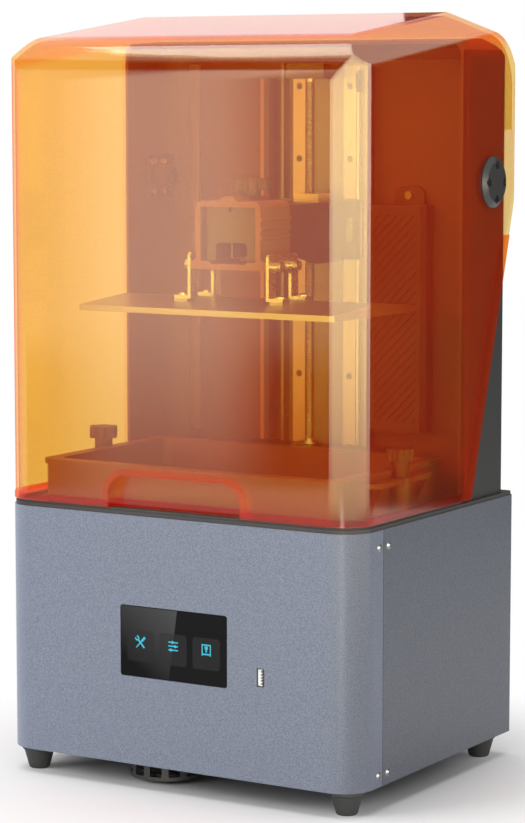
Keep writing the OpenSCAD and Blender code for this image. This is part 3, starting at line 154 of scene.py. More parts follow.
class Shader(NodeTree):
    """A material's node tree."""

    def __init__(self, name):
        self.material = bpy.data.materials.new(name)
        self.material.use_nodes = True
        super().__init__(self.material.node_tree, "ShaderNodeOutputMaterial")

    def principled(self, color, roughness, **inputs):
        """The material's main shader. Further inputs go by their names, with _ for a space."""
        node = self.add("ShaderNodeBsdfPrincipled")
        node.inputs["Base Color"].default_value = (*color, 1)
        node.inputs["Roughness"].default_value = roughness
        for key, value in inputs.items():
            node.inputs[key.replace("_", " ")].default_value = value
        self.shader = node
        return node

    def coords(self, scale=(1, 1, 1)):
        texture = self.add("ShaderNodeTexCoord")
        mapping = self.add("ShaderNodeMapping")
        mapping.inputs["Scale"].default_value = scale
        self.link(texture.outputs["Object"], mapping.inputs["Vector"])
        return mapping.outputs["Vector"]

    def place(self, scale=(1, 1, 1)):
        """X, Y and Z of the shaded point, where it lies at rest."""
        split = self.add("ShaderNodeSeparateXYZ")
        self.link(self.coords(scale), split.inputs[0])
        return split.outputs

    def noise(self, scale, detail, stretch=(1, 1, 1)):
        node = self.add("ShaderNodeTexNoise")
        node.inputs["Scale"].default_value = scale
        node.inputs["Detail"].default_value = detail
        self.link(self.coords(stretch), node.inputs["Vector"])
        return node.outputs["Fac"]

    def ramp(self, value, low, high, at=(0.0, 1.0)):
        node = self.add("ShaderNodeValToRGB")
        node.color_ramp.elements[0].position = at[0]
        node.color_ramp.elements[1].position = at[1]
        node.color_ramp.elements[0].color = (*low, 1)
        node.color_ramp.elements[1].color = (*high, 1)
        self.link(value, node.inputs["Fac"])
        return node.outputs["Color"]

    def between(self, value, low, high):
        """Low where value is 0, high where it is 1."""
        node = self.add("ShaderNodeMapRange")
        node.inputs["To Min"].default_value = low
        node.inputs["To Max"].default_value = high
        self.link(value, node.inputs["Value"])
        return node.outputs["Result"]

    def bump(self, height, depth, strength):
        node = self.add("ShaderNodeBump")
        node.inputs["Strength"].default_value = strength
        node.inputs["Distance"].default_value = depth
        self.link(height, node.inputs["Height"])
        return node.outputs["Normal"]

    def finish(self, shader=None):
        self.link((shader or self.shader).outputs[0], self.out.inputs["Surface"])
        return self.material


# ---------- places that finishes change at, from the frame ----------
hood_low, hood_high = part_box("hood_shell")
RIM_X = hood_high[0] - 0.25 * MM        # the rims stand proud of the hood's side walls
RIM_Z = hood_low[2] + 5.4 * MM          # top of the bottom rim
BEAD_Y = hood_low[1] + 0.25 * MM        # the pocket's bead stands proud of the front wall
tower_low, tower_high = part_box("tower_shell")
OUTER_X = tower_high[0] - 0.3 * MM      # the tower's outer faces lie beyond
TOWER_Y = (tower_low[1], tower_high[1] - 5 * MM)    # where the tower backs the side walls

BLACK = (0, 0, 0)
WHITE = (1, 1, 1)


def mixed(color, other, share):
    return tuple(a + (b - a) * share for a, b in zip(color, other))


# ---------- materials ----------
# noise cells per metre
COAT_GRAIN, COAT_FLAKES = 1150, 4200
MOULD_GRAIN, MOULD_BLOTCHES = 1400, 9
METAL_GRAIN = 700
FILM_BLOTCHES, GLASS_BLOTCHES, PICTURE_GRAIN = 60, 4, 300
COAT_ROUGHNESS = (0.28, 0.46)
TOWER_ROUGHNESS = (0.44, 0.6)
FILM_GLOSS = 0.25           # share of a clear film's shader that is its gloss


def powder_coat(name, color, sparkle):
    """Fine metallic powder coat: a grainy skin with sparse bright flakes."""
    s = Shader(name)
    s.principled(color, 0.34)
    grain = s.noise(COAT_GRAIN, detail=2)
    flakes = s.noise(COAT_FLAKES, detail=0)
    tone = s.ramp(grain, mixed(color, BLACK, 0.2), mixed(color, WHITE, sparkle), at=(0.3, 0.72))
    s.link(tone, s.shader.inputs["Base Color"])
    s.link(s.between(flakes, *COAT_ROUGHNESS), s.shader.inputs["Roughness"])
    s.link(s.bump(grain, depth=0.12 * MM, strength=0.35), s.shader.inputs["Normal"])
    return s.finish()


def add_mould_grain(s, lowest, highest):
    """Fine spark-eroded texture, with its roughness between two values."""
    grain = s.noise(MOULD_GRAIN, detail=3)
    s.link(s.between(grain, lowest, highest), s.shader.inputs["Roughness"])
    s.link(s.bump(grain, depth=0.06 * MM, strength=0.4), s.shader.inputs["Normal"])


def moulded(name, color, roughness):
    """Moulded plastic with a fine texture."""
    s = Shader(name)
    s.principled(color, roughness)
    blotches = s.noise(MOULD_BLOTCHES, detail=2)
    s.link(s.ramp(blotches, mixed(color, BLACK, 0.12), mixed(color, WHITE, 0.03)),
           s.shader.inputs["Base Color"])
    add_mould_grain(s, roughness - 0.06, roughness + 0.1)
    return s.finish()


def metal(name, color, roughness, brush=(1, 1, 1), metallic=1.0):
    """Bare or anodised metal, blasted, or brushed where brush stretches its grain."""
    s = Shader(name)
    s.principled(color, roughness, Metallic=metallic)
    grain = s.noise(METAL_GRAIN, detail=4, stretch=brush)
    s.link(s.ramp(grain, mixed(color, BLACK, 0.18), mixed(color, WHITE, 0.10)),
           s.shader.inputs["Base Color"])
    s.link(s.between(grain, roughness - 0.08, roughness + 0.1), s.shader.inputs["Roughness"])
    s.link(s.bump(grain, depth=0.01 * MM, strength=0.3), s.shader.inputs["Normal"])
    return s.finish()


# ---- the hood's tinted sheet ----
SHEET_IOR = 1.5
# most that the sheet's skin mirrors, edge-on: upright walls, and the flat roof
MIRROR_LIMITS = (0.12, 0.62)
MIRROR_ROUGHNESS = 0.06
# share of a surface that is haze: plain, at the rims, backed by the tower, at the bead; the haze
# backed by the tower is raised as painted light, a brighter red glow there
PLAIN_HAZE, RIM_HAZE, PAINTED_GLOW_HAZE, BEAD_HAZE = 0.14, 0.17, 0.3, 0.28
HAZE = (1.0, 0.10, 0.02)
# what one surface lets through: face-on, edge-on, at the rims, at the bead, and from the lamps
TINT = (1.0, 0.965, 0.60)
DEEP_TINT = (1.0, 0.20, 0.02)
RIM_TINT = (1.0, 0.34, 0.05)
BEAD_TINT = (1.0, 0.7, 0.2)
LAMP_TINT = (1.0, 0.33, 0.055)
EDGE_POWER = 4.0        # how late the tint deepens towards edge-on


def at_rims(s):
    """1 on the rims, which lie outside the side walls or at the hood's foot."""
    x, _, z = s.place()
    return s.calc("MAXIMUM", s.calc("GREATER_THAN", s.calc("ABSOLUTE", x), RIM_X),
                  s.calc("LESS_THAN", z, RIM_Z))


def on_bead(s):
    """1 on the bead around the finger pocket."""
    _, y, z = s.place()
    return s.calc("MULTIPLY", s.calc("LESS_THAN", y, BEAD_Y), s.calc("GREATER_THAN", z, RIM_Z))


def beside_tower(s):
    """1 on the hood's side walls where the tower stands right behind them."""
    x, y, _ = s.place()
    wall = s.calc("GREATER_THAN", s.calc("ABSOLUTE", x), tower_high[0])
    middle, half = (TOWER_Y[1] + TOWER_Y[0]) / 2, (TOWER_Y[1] - TOWER_Y[0]) / 2
    return s.calc("MULTIPLY", wall, s.calc("COMPARE", y, middle, half))


def picked(s, mask, low, high):
    """Colour low, or high where the mask is 1. Either may be a socket or a plain colour."""
    node = s.add("ShaderNodeMix", data_type="RGBA")
    s.link(mask, node.inputs["Factor"])
    for color, target in ((low, node.inputs["A"]), (high, node.inputs["B"])):
        if isinstance(color, tuple):
            target.default_value = (*color, 1)
        else:
            s.link(color, target)
    return node.outputs["Result"]


def sheet_mirror_share(s):
    """Fresnel of the sheet, limited by how level the surface lies. A wall seen from within has to
    mirror as weakly as from outside, since rays pass the sheet straight."""
    side = s.add("ShaderNodeNewGeometry")
    fresnel = s.add("ShaderNodeFresnel")
    s.link(s.between(side.outputs["Backfacing"], SHEET_IOR, 1 / SHEET_IOR), fresnel.inputs["IOR"])
    upward = s.add("ShaderNodeSeparateXYZ")
    s.link(side.outputs["Normal"], upward.inputs[0])
    level = s.calc("ABSOLUTE", upward.outputs["Z"])
    return s.calc("MINIMUM", fresnel.outputs[0], s.between(level, *MIRROR_LIMITS))


def haze_share(s, rim, bead, backed):
    """Share of the sheet that is haze, from the masks of its places."""
    # thicker haze where the tower backs the wall: painted light, a brighter red glow on that part
    # of the sheet
    share = s.calc("MAXIMUM", s.between(rim, PLAIN_HAZE, RIM_HAZE),
                   s.between(backed, PLAIN_HAZE, PAINTED_GLOW_HAZE))
    return s.calc("MAXIMUM", share, s.between(bead, 0.0, BEAD_HAZE))


def tinted_acrylic(name):
    """Clear tinted sheet. Each surface passes its tint once, deeper where the wall is seen on edge
    and at the thick rims, and a little haze in the sheet lights up from both sides, more on the
    bead.
    Where the tower backs the wall the haze is thicker still, as painted light: a brighter red glow
    there. Lamps shine in through a tint of their own."""
    s = Shader(name)
    rim, bead, backed = at_rims(s), on_bead(s), beside_tower(s)
    facing = s.add("ShaderNodeLayerWeight")
    facing.inputs["Blend"].default_value = 0.5
    edge = s.calc("POWER", facing.outputs["Facing"], EDGE_POWER)
    tint = picked(s, rim, s.ramp(edge, TINT, DEEP_TINT), RIM_TINT)
    passed = s.add("ShaderNodeBsdfTransparent")
    s.link(picked(s, bead, tint, BEAD_TINT), passed.inputs["Color"])
    front_lit = s.principled(HAZE, 0.5, Specular_IOR_Level=0.0)
    back_lit = s.plain("ShaderNodeBsdfTranslucent", HAZE)
    body = s.mix(haze_share(s, rim, bead, backed), passed, s.mix(0.5, front_lit, back_lit))
    mirror = s.plain("ShaderNodeBsdfGlossy", WHITE)
    mirror.inputs["Roughness"].default_value = MIRROR_ROUGHNESS
    surface = s.mix(sheet_mirror_share(s), body, mirror)
    light = s.add("ShaderNodeLightPath")
    let_in = s.plain("ShaderNodeBsdfTransparent", LAMP_TINT)
    return s.finish(s.mix(light.outputs["Is Shadow Ray"], surface, let_in))


# ---- other finishes ----
def lit_inside_shaded_outside(name, inside, outside):
    """The tower's moulded plastic, lighter inside and darker on the outer faces of its sides:
    painted light in the chamber and painted shade outside.
    """
    s = Shader(name)
    s.principled(inside, 0.5, Specular_IOR_Level=0.35)
    beyond = s.calc("GREATER_THAN", s.calc("ABSOLUTE", s.place()["X"]), OUTER_X)
    # painted light and shade: a lighter colour inside the chamber, a darker one on the outer faces
    s.link(s.ramp(beyond, inside, outside), s.shader.inputs["Base Color"])
    add_mould_grain(s, *TOWER_ROUGHNESS)
    return s.finish()


def clear_sheet(name, tint, roughness):
    """Thin clear film or lens with a weak gloss."""
    s = Shader(name)
    gloss = s.principled(tint, roughness)
    blotches = s.noise(FILM_BLOTCHES, detail=3)
    s.link(s.between(blotches, roughness, roughness + 0.15), gloss.inputs["Roughness"])
    return s.finish(s.mix(FILM_GLOSS, s.plain("ShaderNodeBsdfTransparent", tint), gloss))


def glass_black(name, color):
    """Dark glass with a little unevenness in its tone."""
    s = Shader(name)
    s.principled(color, 0.05, Specular_IOR_Level=0.2)
    blotches = s.noise(GLASS_BLOTCHES, detail=1)
    s.link(s.ramp(blotches, mixed(color, BLACK, 0.3), mixed(color, WHITE, 0.02)),
           s.shader.inputs["Base Color"])
    return s.finish()


MATERIALS = {
    "powder_coat": powder_coat("powder_coat", (0.152, 0.181, 0.252), 0.09),
    # the side panels' coat is the front's paint made darker: painted shade on the sides
    "powder_coat_side": powder_coat("powder_coat_side", (0.08, 0.096, 0.136), 0.07),
    "black_steel": moulded("black_steel", (0.012, 0.012, 0.013), 0.5),
    "black_rubber": moulded("black_rubber", (0.014, 0.016, 0.019), 0.6),
    "steel": metal("steel", (0.62, 0.62, 0.63), 0.25),
    "screen_glass": glass_black("screen_glass", (0.008, 0.008, 0.009)),
    "black_plastic": moulded("black_plastic", (0.022, 0.022, 0.024), 0.45),
    "circuit_board": moulded("circuit_board", (0.01, 0.09, 0.05), 0.4),
    "galvanised": metal("galvanised", (0.5, 0.51, 0.52), 0.4),
    "led_board": moulded("led_board", (0.8, 0.81, 0.79), 0.5),
    "black_aluminium": metal("black_aluminium", (0.07, 0.07, 0.075), 0.42),
    "bright_aluminium": metal("bright_aluminium", (0.62, 0.62, 0.63), 0.38),
    "clear_plastic": clear_sheet("clear_plastic", (0.9, 0.92, 0.95), 0.1),
    "lcd_glass": glass_black("lcd_glass", (0.012, 0.012, 0.016)),
    # one plastic given a lighter inside and a darker outside, as painted light and painted shade
    "tower_plastic": lit_inside_shaded_outside("tower_plastic", (0.13, 0.125, 0.125), (0.024, 0.025, 0.028)),
    "cover_plastic": moulded("cover_plastic", (0.045, 0.046, 0.05), 0.5),
    "column_aluminium": metal("column_aluminium", (0.2, 0.2, 0.205), 0.4),
    "dark_screws": metal("dark_screws", (0.12, 0.12, 0.125), 0.3),
    "brass_screws": metal("brass_screws", (0.85, 0.62, 0.3), 0.28),
    "filter_plastic": moulded("filter_plastic", (0.06, 0.06, 0.062), 0.55),
    "hub_metal": moulded("hub_metal", (0.08, 0.07, 0.065), 0.4),
    "amber_acrylic": tinted_acrylic("amber_acrylic"),
    "cap_plastic": moulded("cap_plastic", (0.035, 0.035, 0.037), 0.34),
    "brass": metal("brass", (0.7, 0.52, 0.26), 0.3),
    "knob_plastic": moulded("knob_plastic", (0.035, 0.035, 0.037), 0.4),
    "bracket_steel": metal("bracket_steel", (0.75, 0.74, 0.7), 0.25),
    "plate_aluminium": metal("plate_aluminium", (0.5, 0.5, 0.51), 0.34),
    "vat_aluminium": moulded("vat_aluminium", (0.16, 0.15, 0.155), 0.4),
    "clear_film": clear_sheet("clear_film", (0.85, 0.88, 0.92), 0.08),
}
SCREW_STEEL = metal("screw_steel", (0.42, 0.42, 0.43), 0.32)
# nodes whose finish differs a little from the rest of their slot
OWN_FINISH = {
    "panel_screws": metal("panel_screw_steel", (0.3, 0.3, 0.31), 0.3),
    "filter_screw": metal("filter_screw_brass", (0.4, 0.26, 0.1), 0.35),
    "clamp_sleeve": moulded("sleeve_finish", (0.26, 0.255, 0.26), 0.42),
    "cable_duct": moulded("duct_finish", (0.4, 0.38, 0.38), 0.4),
    "linear_rails": metal("rail_steel", (0.62, 0.58, 0.56), 0.34, brush=(1, 1, 0.05),
                          metallic=0.5),
}


def dress_nodes():
    for part in frame["record"]["subparts"]:
        mesh = nodes[part["node"]].data
        mesh.materials.clear()
        mesh.materials.append(OWN_FINISH.get(part["node"], MATERIALS[part["material_slot"]]))


# ---------- pieces built in mesh code ----------
def add_piece(name, verts, faces, body, material, slot, smooth=False):
    """Adds a mesh given in metres, with its faces turned outward, riding on a body."""
    mesh = bpy.data.meshes.new(name)
    mesh.from_pydata(verts, [], faces)
    shape = bmesh.new()
    shape.from_mesh(mesh)
    bmesh.ops.recalc_face_normals(shape, faces=shape.faces)
    for face in shape.faces:
        face.smooth = smooth
    shape.to_mesh(mesh)
    shape.free()
    mesh.materials.append(material)
    piece = put(name, mesh)
    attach(piece, body)
    return piece


def arc(x, z, radius, start, sweep, steps):
    """Points along an arc that begins at start and turns by sweep, both in degrees."""
    turns = [math.radians(start + sweep * i / steps) for i in range(steps + 1)]
    return [(x + math.cos(turn) * radius, z + math.sin(turn) * radius) for turn in turns]


def rounded_rect(x, z, width, height, radius, steps=5):
    """Outline of a rounded rectangle in the plane of the front, as (x, z) points."""
    outline = []
    for side_x, side_z, start in ((1, 1, 0), (-1, 1, 90), (-1, -1, 180), (1, -1, 270)):
        outline += arc(x + side_x * (width / 2 - radius), z + side_z * (height / 2 - radius),
                       radius, start, 90, steps)
    return outline


def disc(x, z, radius, steps=20):
    return arc(x, z, radius, 0, 360, steps)[:-1]


def bar(x0, z0, x1, z1, width):
    """Outline of a straight bar between two points."""
    length = math.hypot(x1 - x0, z1 - z0)
    nx, nz = -(z1 - z0) / length * width / 2, (x1 - x0) / length * width / 2
    return [(x0 + nx, z0 + nz), (x0 - nx, z0 - nz), (x1 - nx, z1 - nz), (x1 + nx, z1 + nz)]


def band(start, following, count):
    """Faces between two closed rings of count points, each given by its first point's number."""
    return [[start + i, start + (i + 1) % count, following + (i + 1) % count, following + i]
            for i in range(count)]


def front_slabs(outlines, y_front, depth, bevel=0.0):
    """Slabs parallel to the front face: each outline is pushed back by depth, with its front edge
    bevelled towards the outline's middle."""
    verts, faces = [], []
    for outline in outlines:
        count = len(outline)
        mid_x = sum(x for x, z in outline) / count
        mid_z = sum(z for x, z in outline) / count
        first = len(verts)
        for shrink, y in ((bevel, y_front), (0.0, y_front + bevel), (0.0, y_front + depth)):
            for x, z in outline:
                keep = 1 - shrink / math.hypot(x - mid_x, z - mid_z)
                verts.append((mid_x + (x - mid_x) * keep, y, mid_z + (z - mid_z) * keep))
        back = first + 2 * count
        faces += [list(range(first, first + count)), list(range(back, back + count))]
        faces += band(first, first + count, count) + band(first + count, back, count)
    return verts, faces


def ring_slab(outer, inner, y_front, y_back):
    """Open frame between two outlines with as many points each."""
    count = len(outer)
    verts, faces = [], []
    for outline, y in ((outer, y_front), (inner, y_front), (inner, y_back), (outer, y_back)):
        verts += [(x, y, z) for x, z in outline]
    for ring in range(4):
        faces += band(ring * count, (ring + 1) % 4 * count, count)
    return verts, faces


# ---- touch screen ----
PICTURE_SKIN = (0.002, 0.002, 0.002)
# least light of the painted reflection
DARKEST_GLOW = 0.006
LAYER = 0.015 * MM          # depth of each layer of the picture on the cover glass
PICTURE_MARGIN = 0.35 * MM
REFLECTION_SIDE = (0.456, 0.537)     # the painted reflection's slanted side at foot and head, in screen widths
REFLECTION_GLOW = (0.0425, 0.07, 0.055)  # light of the painted reflection at the top left corner, rise to the right, fall to the foot
TILE = 25.4 * MM
TILE_STEP = 31.0 * MM
TILE_DROP = 3.4 * MM        # from the screen's middle to the tiles'
SIGN_RISE = 2.9 * MM        # from a tile's middle to its sign's
JAW_STEPS = 14


def glow_flat(name, color):
    """Part of the display's picture: a dark glossy surface with its own light."""
    s = Shader(name)
    s.principled(PICTURE_SKIN, 0.1, Specular_IOR_Level=0.05, Emission_Strength=1.0)
    s.link(s.ramp(s.noise(PICTURE_GRAIN, detail=1), mixed(color, BLACK, 0.04), color),
           s.shader.inputs["Emission Color"])
    return s.finish()


def faint_pane(name):
    """A pane that lightens the picture behind it a little."""
    s = Shader(name)
    s.principled((0.02, 0.02, 0.02), 0.1, Specular_IOR_Level=0.05, Emission_Strength=0.13,
                 Alpha=0.06)
    s.link(s.ramp(s.noise(PICTURE_GRAIN, detail=1), (0.96, 0.96, 0.96), WHITE),
           s.shader.inputs["Emission Color"])
    return s.finish()


def painted_reflection(name, corner, across, up, base):
    """Painted reflection on the cover glass, drawn as part of the display's picture: its light is
    base at a corner, grows by across per metre to the right and by up per metre upward."""
    s = Shader(name)
    s.principled(PICTURE_SKIN, 0.1, Specular_IOR_Level=0.05)
    s.shader.inputs["Emission Color"].default_value = (*WHITE, 1)
    x, _, z = s.place()
    slopes = s.calc("ADD", s.calc("MULTIPLY", s.calc("SUBTRACT", x, corner[0]), across),
                    s.calc("MULTIPLY", s.calc("SUBTRACT", z, corner[1]), up))
    s.link(s.calc("MAXIMUM", s.calc("ADD", slopes, base), DARKEST_GLOW),
           s.shader.inputs["Emission Strength"])
    return s.finish()


# signs are drawn in millimetres about their own middle
def tool_sign():
    """Crossed spanner and screwdriver."""
    outer = arc(-3.2, 3.3, 2.1, 165, 300, JAW_STEPS)
    inner = arc(-3.2, 3.3, 0.9, 165, 300, JAW_STEPS)
    jaw = [[outer[i], outer[i + 1], inner[i + 1], inner[i]] for i in range(JAW_STEPS)]
    return jaw + [bar(-2.3, 2.2, 3.6, -4.2, 1.5), bar(4.2, 4.4, 1.1, 1.1, 2.0),
                  bar(1.1, 1.1, -4.2, -4.4, 0.9)]


def slider_sign():
    """Three sliders at different settings."""
    outlines = []
    for row, knob in ((3.1, -0.6), (0.0, 1.9), (-3.1, -2.2)):
        outlines += [bar(-4.5, row, 4.5, row, 1.0), disc(knob, row, 1.25)]
    return outlines


def machine_sign():
    """A frame with a moving head over a bed."""
    return [bar(-4.3, 4.2, 4.3, 4.2, 1.1),
            bar(-3.8, 4.2, -3.8, -4.6, 1.0),
            bar(3.8, 4.2, 3.8, -4.6, 1.0),
            bar(-4.3, -3.2, 4.3, -3.2, 1.2),
            bar(-1.5, 2.0, 1.5, 2.0, 2.4),
            bar(0, 1.2, 0, -1.6, 1.5)]


def add_touch_screen():
    """Black cover glass whose picture shows three plain tiles with generic signs, no words, and a
    painted reflection across its left part.
    """
    (x0, y0, z0), (x1, y1, z1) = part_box("touch_glass")
    width, height = x1 - x0, z1 - z0
    mid_x, mid_z = (x0 + x1) / 2, (z0 + z1) / 2
    glass_y = y0 + 0.06 * MM
    cover = rounded_rect(mid_x, mid_z, width, height, 1.2 * MM)
    dark = glow_flat("display_dark", (0.009, 0.009, 0.0095))
    slab = front_slabs([cover], glass_y, y1 - glass_y, bevel=0.25 * MM)
    glass = add_piece("cover_glass", *slab, "base", dark, "screen_glass")
    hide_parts("touch_glass")

    def add_layer(name, outlines, level, material):
        add_piece(name, *front_slabs(outlines, glass_y - level * LAYER, LAYER),
                  "base", material, "screen_glass")

    # a lighter slanted sweep over the left part of the glass: a painted reflection of its gloss,
    # drawn as glowing picture
    left, head, foot = x0 + PICTURE_MARGIN, z1 - PICTURE_MARGIN, z0 + PICTURE_MARGIN
    sweep = [(left, head), (left, foot), (x0 + REFLECTION_SIDE[0] * width, foot),
             (x0 + REFLECTION_SIDE[1] * width, head)]
    base, rise, fall = REFLECTION_GLOW
    light = painted_reflection("display_painted_reflection", (x0, z1), rise / width, fall / height, base)
    add_layer("display_reflection", [sweep], 1, light)
    tile_z = mid_z - TILE_DROP
    places = [mid_x - TILE_STEP, mid_x, mid_x + TILE_STEP]
    pane = faint_pane("display_tile")
    for number, x in enumerate(places):
        tile = rounded_rect(x, tile_z, TILE, TILE, 3 * MM)
        add_layer("display_tile_%d" % (number + 1), [tile], 2, pane)
    ink = glow_flat("display_sign", (0.07, 0.56, 0.74))
    for number, sign in enumerate((tool_sign(), slider_sign(), machine_sign())):
        outlines = [[(places[number] + x * MM, tile_z + SIGN_RISE + z * MM) for x, z in outline]
                    for outline in sign]
        add_layer("display_sign_%d" % (number + 1), outlines, 3, ink)


# ---- data port ----
def add_data_port():
    """Upright socket: dark shell, white tongue with contact slots."""
    (x0, y0, z0), (x1, y1, z1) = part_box("data_port")
    mid_x, mid_z = (x0 + x1) / 2, (z0 + z1) / 2
    width, height = x1 - x0, z1 - z0
    dark = metal("port_shell", (0.09, 0.09, 0.095), 0.35)
    white = moulded("port_tongue", (0.85, 0.85, 0.83), 0.4)
    wall = 0.45 * MM
    outer = rounded_rect(mid_x, mid_z, width, height, 0.6 * MM)
    inner = rounded_rect(mid_x, mid_z, width - 2 * wall, height - 2 * wall, 0.4 * MM)
    shell = add_piece("port_shell", *ring_slab(outer, inner, y0, y1), "base", dark, "steel")
    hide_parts("data_port")
    add_piece("port_back", *front_slabs([outer], y1 - 2 * MM, 1.9 * MM), "base", dark, "steel")
    tongue_width, tongue_height = 2.6 * MM, height - 1.3 * MM
    contacts, pitch, contact_width, contact_height = 6, 2.45 * MM, 1.3 * MM, 1.1 * MM
    tongue = [rounded_rect(mid_x - 1.3 * MM, mid_z, tongue_width, tongue_height, 0.3 * MM)]
    for i in range(contacts):
        z = mid_z + (i - (contacts - 1) / 2) * pitch
        tongue.append(rounded_rect(mid_x + 0.6 * MM, z, contact_width, contact_height,
                                   0.1 * MM, steps=2))
    depth = y1 - y0 - 2.5 * MM
    add_piece("port_tongue", *front_slabs(tongue, y0 + 0.3 * MM, depth, bevel=0.1 * MM),
              "base", white, "steel")


# ---- lead screw ----
CREST, ROOT = 4.0 * MM, 3.1 * MM            # radii of the thread
CORE = 3.05 * MM                            # radius of the shaft inside it
JOURNAL, TIP = 3.9 * MM, 3.3 * MM           # radii of the plain ends
COLLAR, COLLAR_HEIGHT = 7.0 * MM, 3.0 * MM
THREAD_PITCH = 2.0 * MM
TOP_JOURNAL = 13.0 * MM                     # length of the plain end at the top
AROUND = 20                                 # points around the screw
# outline of a turn: radius, and height as a share of the pitch
THREAD = ((ROOT, 0.0), (ROOT, 0.22), (CREST, 0.36), (CREST, 0.72), (ROOT, 0.86), (ROOT, 1.0))


def screw_thread(x, y, start_z, end_z):
    """Helical thread that rises from its root over its first turn and sinks back over its last."""
    verts, faces = [], []
    steps = int((end_z - start_z - THREAD_PITCH) / THREAD_PITCH * AROUND)
    for k in range(steps + 1):
        turn = 2 * math.pi * k / AROUND
        z = start_z + THREAD_PITCH * k / AROUND
        swell = min(1.0, k / AROUND, (steps - k) / AROUND)
        for radius, rise in THREAD:
            r = ROOT + (radius - ROOT) * swell
            verts.append((x + math.cos(turn) * r, y + math.sin(turn) * r, z + rise * THREAD_PITCH))
    wide = len(THREAD)
    for k in range(steps):
        for i in range(wide - 1):
            a = k * wide + i
            faces.append([a, a + wide, a + wide + 1, a + 1])
    return verts, faces


def turned(x, y, profile):
    """A body turned around an upright axis, from (radius, z) points."""
    verts, faces = [], []
    for radius, z in profile:
        for i in range(AROUND):
            turn = 2 * math.pi * i / AROUND
            verts.append((x + math.cos(turn) * radius, y + math.sin(turn) * radius, z))
    for k in range(len(profile) - 1):
        faces += band(k * AROUND, (k + 1) * AROUND, AROUND)
    return verts, faces


def add_lead_screw():
    """Trapezoidal thread, plain journals at both ends, and a collar on the lower bearing."""
    low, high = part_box("lead_screw")
    x, y = (low[0] + high[0]) / 2, (low[1] + high[1]) / 2
    collar_z0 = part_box("vat_tray")[1][2] + 0.3 * MM
    collar_z1 = collar_z0 + COLLAR_HEIGHT
    start_z = collar_z1 + 1.5 * MM
    end_z = high[2] - TOP_JOURNAL
    thread = add_piece("lead_screw_thread", *screw_thread(x, y, start_z, end_z), "screw",
                       SCREW_STEEL, "steel", smooth=True)
    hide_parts("lead_screw")
    axis = 0.01 * MM        # radius of the end faces' innermost ring
    shaft = [(axis, low[2]), (JOURNAL, low[2]), (JOURNAL, collar_z0), (COLLAR, collar_z0),
             (COLLAR, collar_z1), (JOURNAL, collar_z1), (JOURNAL, start_z),
             (CORE, start_z + THREAD_PITCH), (CORE, end_z - THREAD_PITCH), (JOURNAL, end_z),
             (JOURNAL, high[2] - 1.0 * MM), (TIP, high[2]), (axis, high[2])]
    add_piece("lead_screw_shaft", *turned(x, y, shaft), "screw", SCREW_STEEL, "steel")


# ---- tower ribs ----
RIB_X = 131.5 * MM          # inner edge, from the middle plane
RIB_WIDTH = 12.5 * MM
RIB_PROUD = 4.5 * MM
RIB_FLAT = 0.4 * MM         # flat between the inner edge and the rounding
RIB_STEPS = 8


def add_tower_ribs():
    """Two upright ribs with a rounded outer side on the tower's inner wall."""
    wall_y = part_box("cable_duct")[1][1] + 0.3 * MM
    ends = (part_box("z_base_block")[1][2] + 1 * MM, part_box("z_column")[1][2])
    profile = [(RIB_X, wall_y), (RIB_X, wall_y - RIB_PROUD + RIB_FLAT)]
    for i in range(RIB_STEPS + 1):
        turn = math.radians(90 * i / RIB_STEPS)
        profile.append((RIB_X + RIB_FLAT + math.sin(turn) * RIB_WIDTH,
                        wall_y - math.cos(turn) * RIB_PROUD))
    count = len(profile)
    faces = [list(range(count)), list(range(count, 2 * count))] + band(0, count, count)
    for side, name in ((-1, "left"), (1, "right")):
        verts = [(side * x, y, z) for z in ends for x, y in profile]
        add_piece("tower_rib_" + name, verts, faces, "base", OWN_FINISH["cable_duct"],
                  "tower_plastic")


# ---------- stage and lamps ----------
FLOOR_HALF = 12.0
FLOOR_COLOR = (0.76, 0.76, 0.765)
FLOOR_FADE = (0.13, 0.37)   # where the lit floor fades to paper white, from the object's centre
NEAR_WHITE = 0.9            # the paper's white where the fade begins
AMBIENT = 0.28
CARD_WHITE = (1, 0.98, 0.95)
CARD_CREAM = (1, 0.92, 0.7)
CARD_STEPS = 24


def paper_floor(name, color):
    """White paper that keeps the object's shadow near it and fades to plain white further out."""
    s = Shader(name)
    lit = s.principled(color, 0.9, Specular_IOR_Level=0.0)
    white = s.plain("ShaderNodeEmission", WHITE)
    texture = s.add("ShaderNodeTexCoord")
    distance = s.add("ShaderNodeVectorMath", operation="LENGTH")
    s.link(texture.outputs["Object"], distance.inputs[0])
    fade = s.eased(distance.outputs["Value"], *FLOOR_FADE)
    s.link(s.between(fade, NEAR_WHITE, 1.0), white.inputs["Strength"])
    return s.finish(s.mix(s.calc("MULTIPLY", s.seen_straight(), fade), lit, white))


def add_stage():
    """The white floor."""
    mesh = bpy.data.meshes.new("floor")
    h = FLOOR_HALF
    mesh.from_pydata([(-h, -h, 0), (h, -h, 0), (h, h, 0), (-h, h, 0)], [], [(0, 1, 2, 3)])
    mesh.materials.append(paper_floor("paper_floor", FLOOR_COLOR))
    floor = put("floor", mesh)


def add_world():
    """Plain white where it is looked at, and a weak even light on the object."""
    world = bpy.data.worlds.new("studio")
    bpy.context.scene.world = world
    world.use_nodes = True
    tree = NodeTree(world.node_tree, "ShaderNodeOutputWorld")
    ambient = tree.plain("ShaderNodeBackground", WHITE)
    ambient.inputs["Strength"].default_value = AMBIENT
    seen = tree.plain("ShaderNodeBackground", WHITE)
    both = tree.mix(tree.seen_straight(), ambient, seen)
    tree.link(both.outputs[0], tree.out.inputs["Surface"])


def around(azimuth, distance, height):
    """A place around the object. Azimuth is in degrees from the front, towards +X."""
    turn = math.radians(azimuth)
    return (math.sin(turn) * distance, -math.cos(turn) * distance, height)


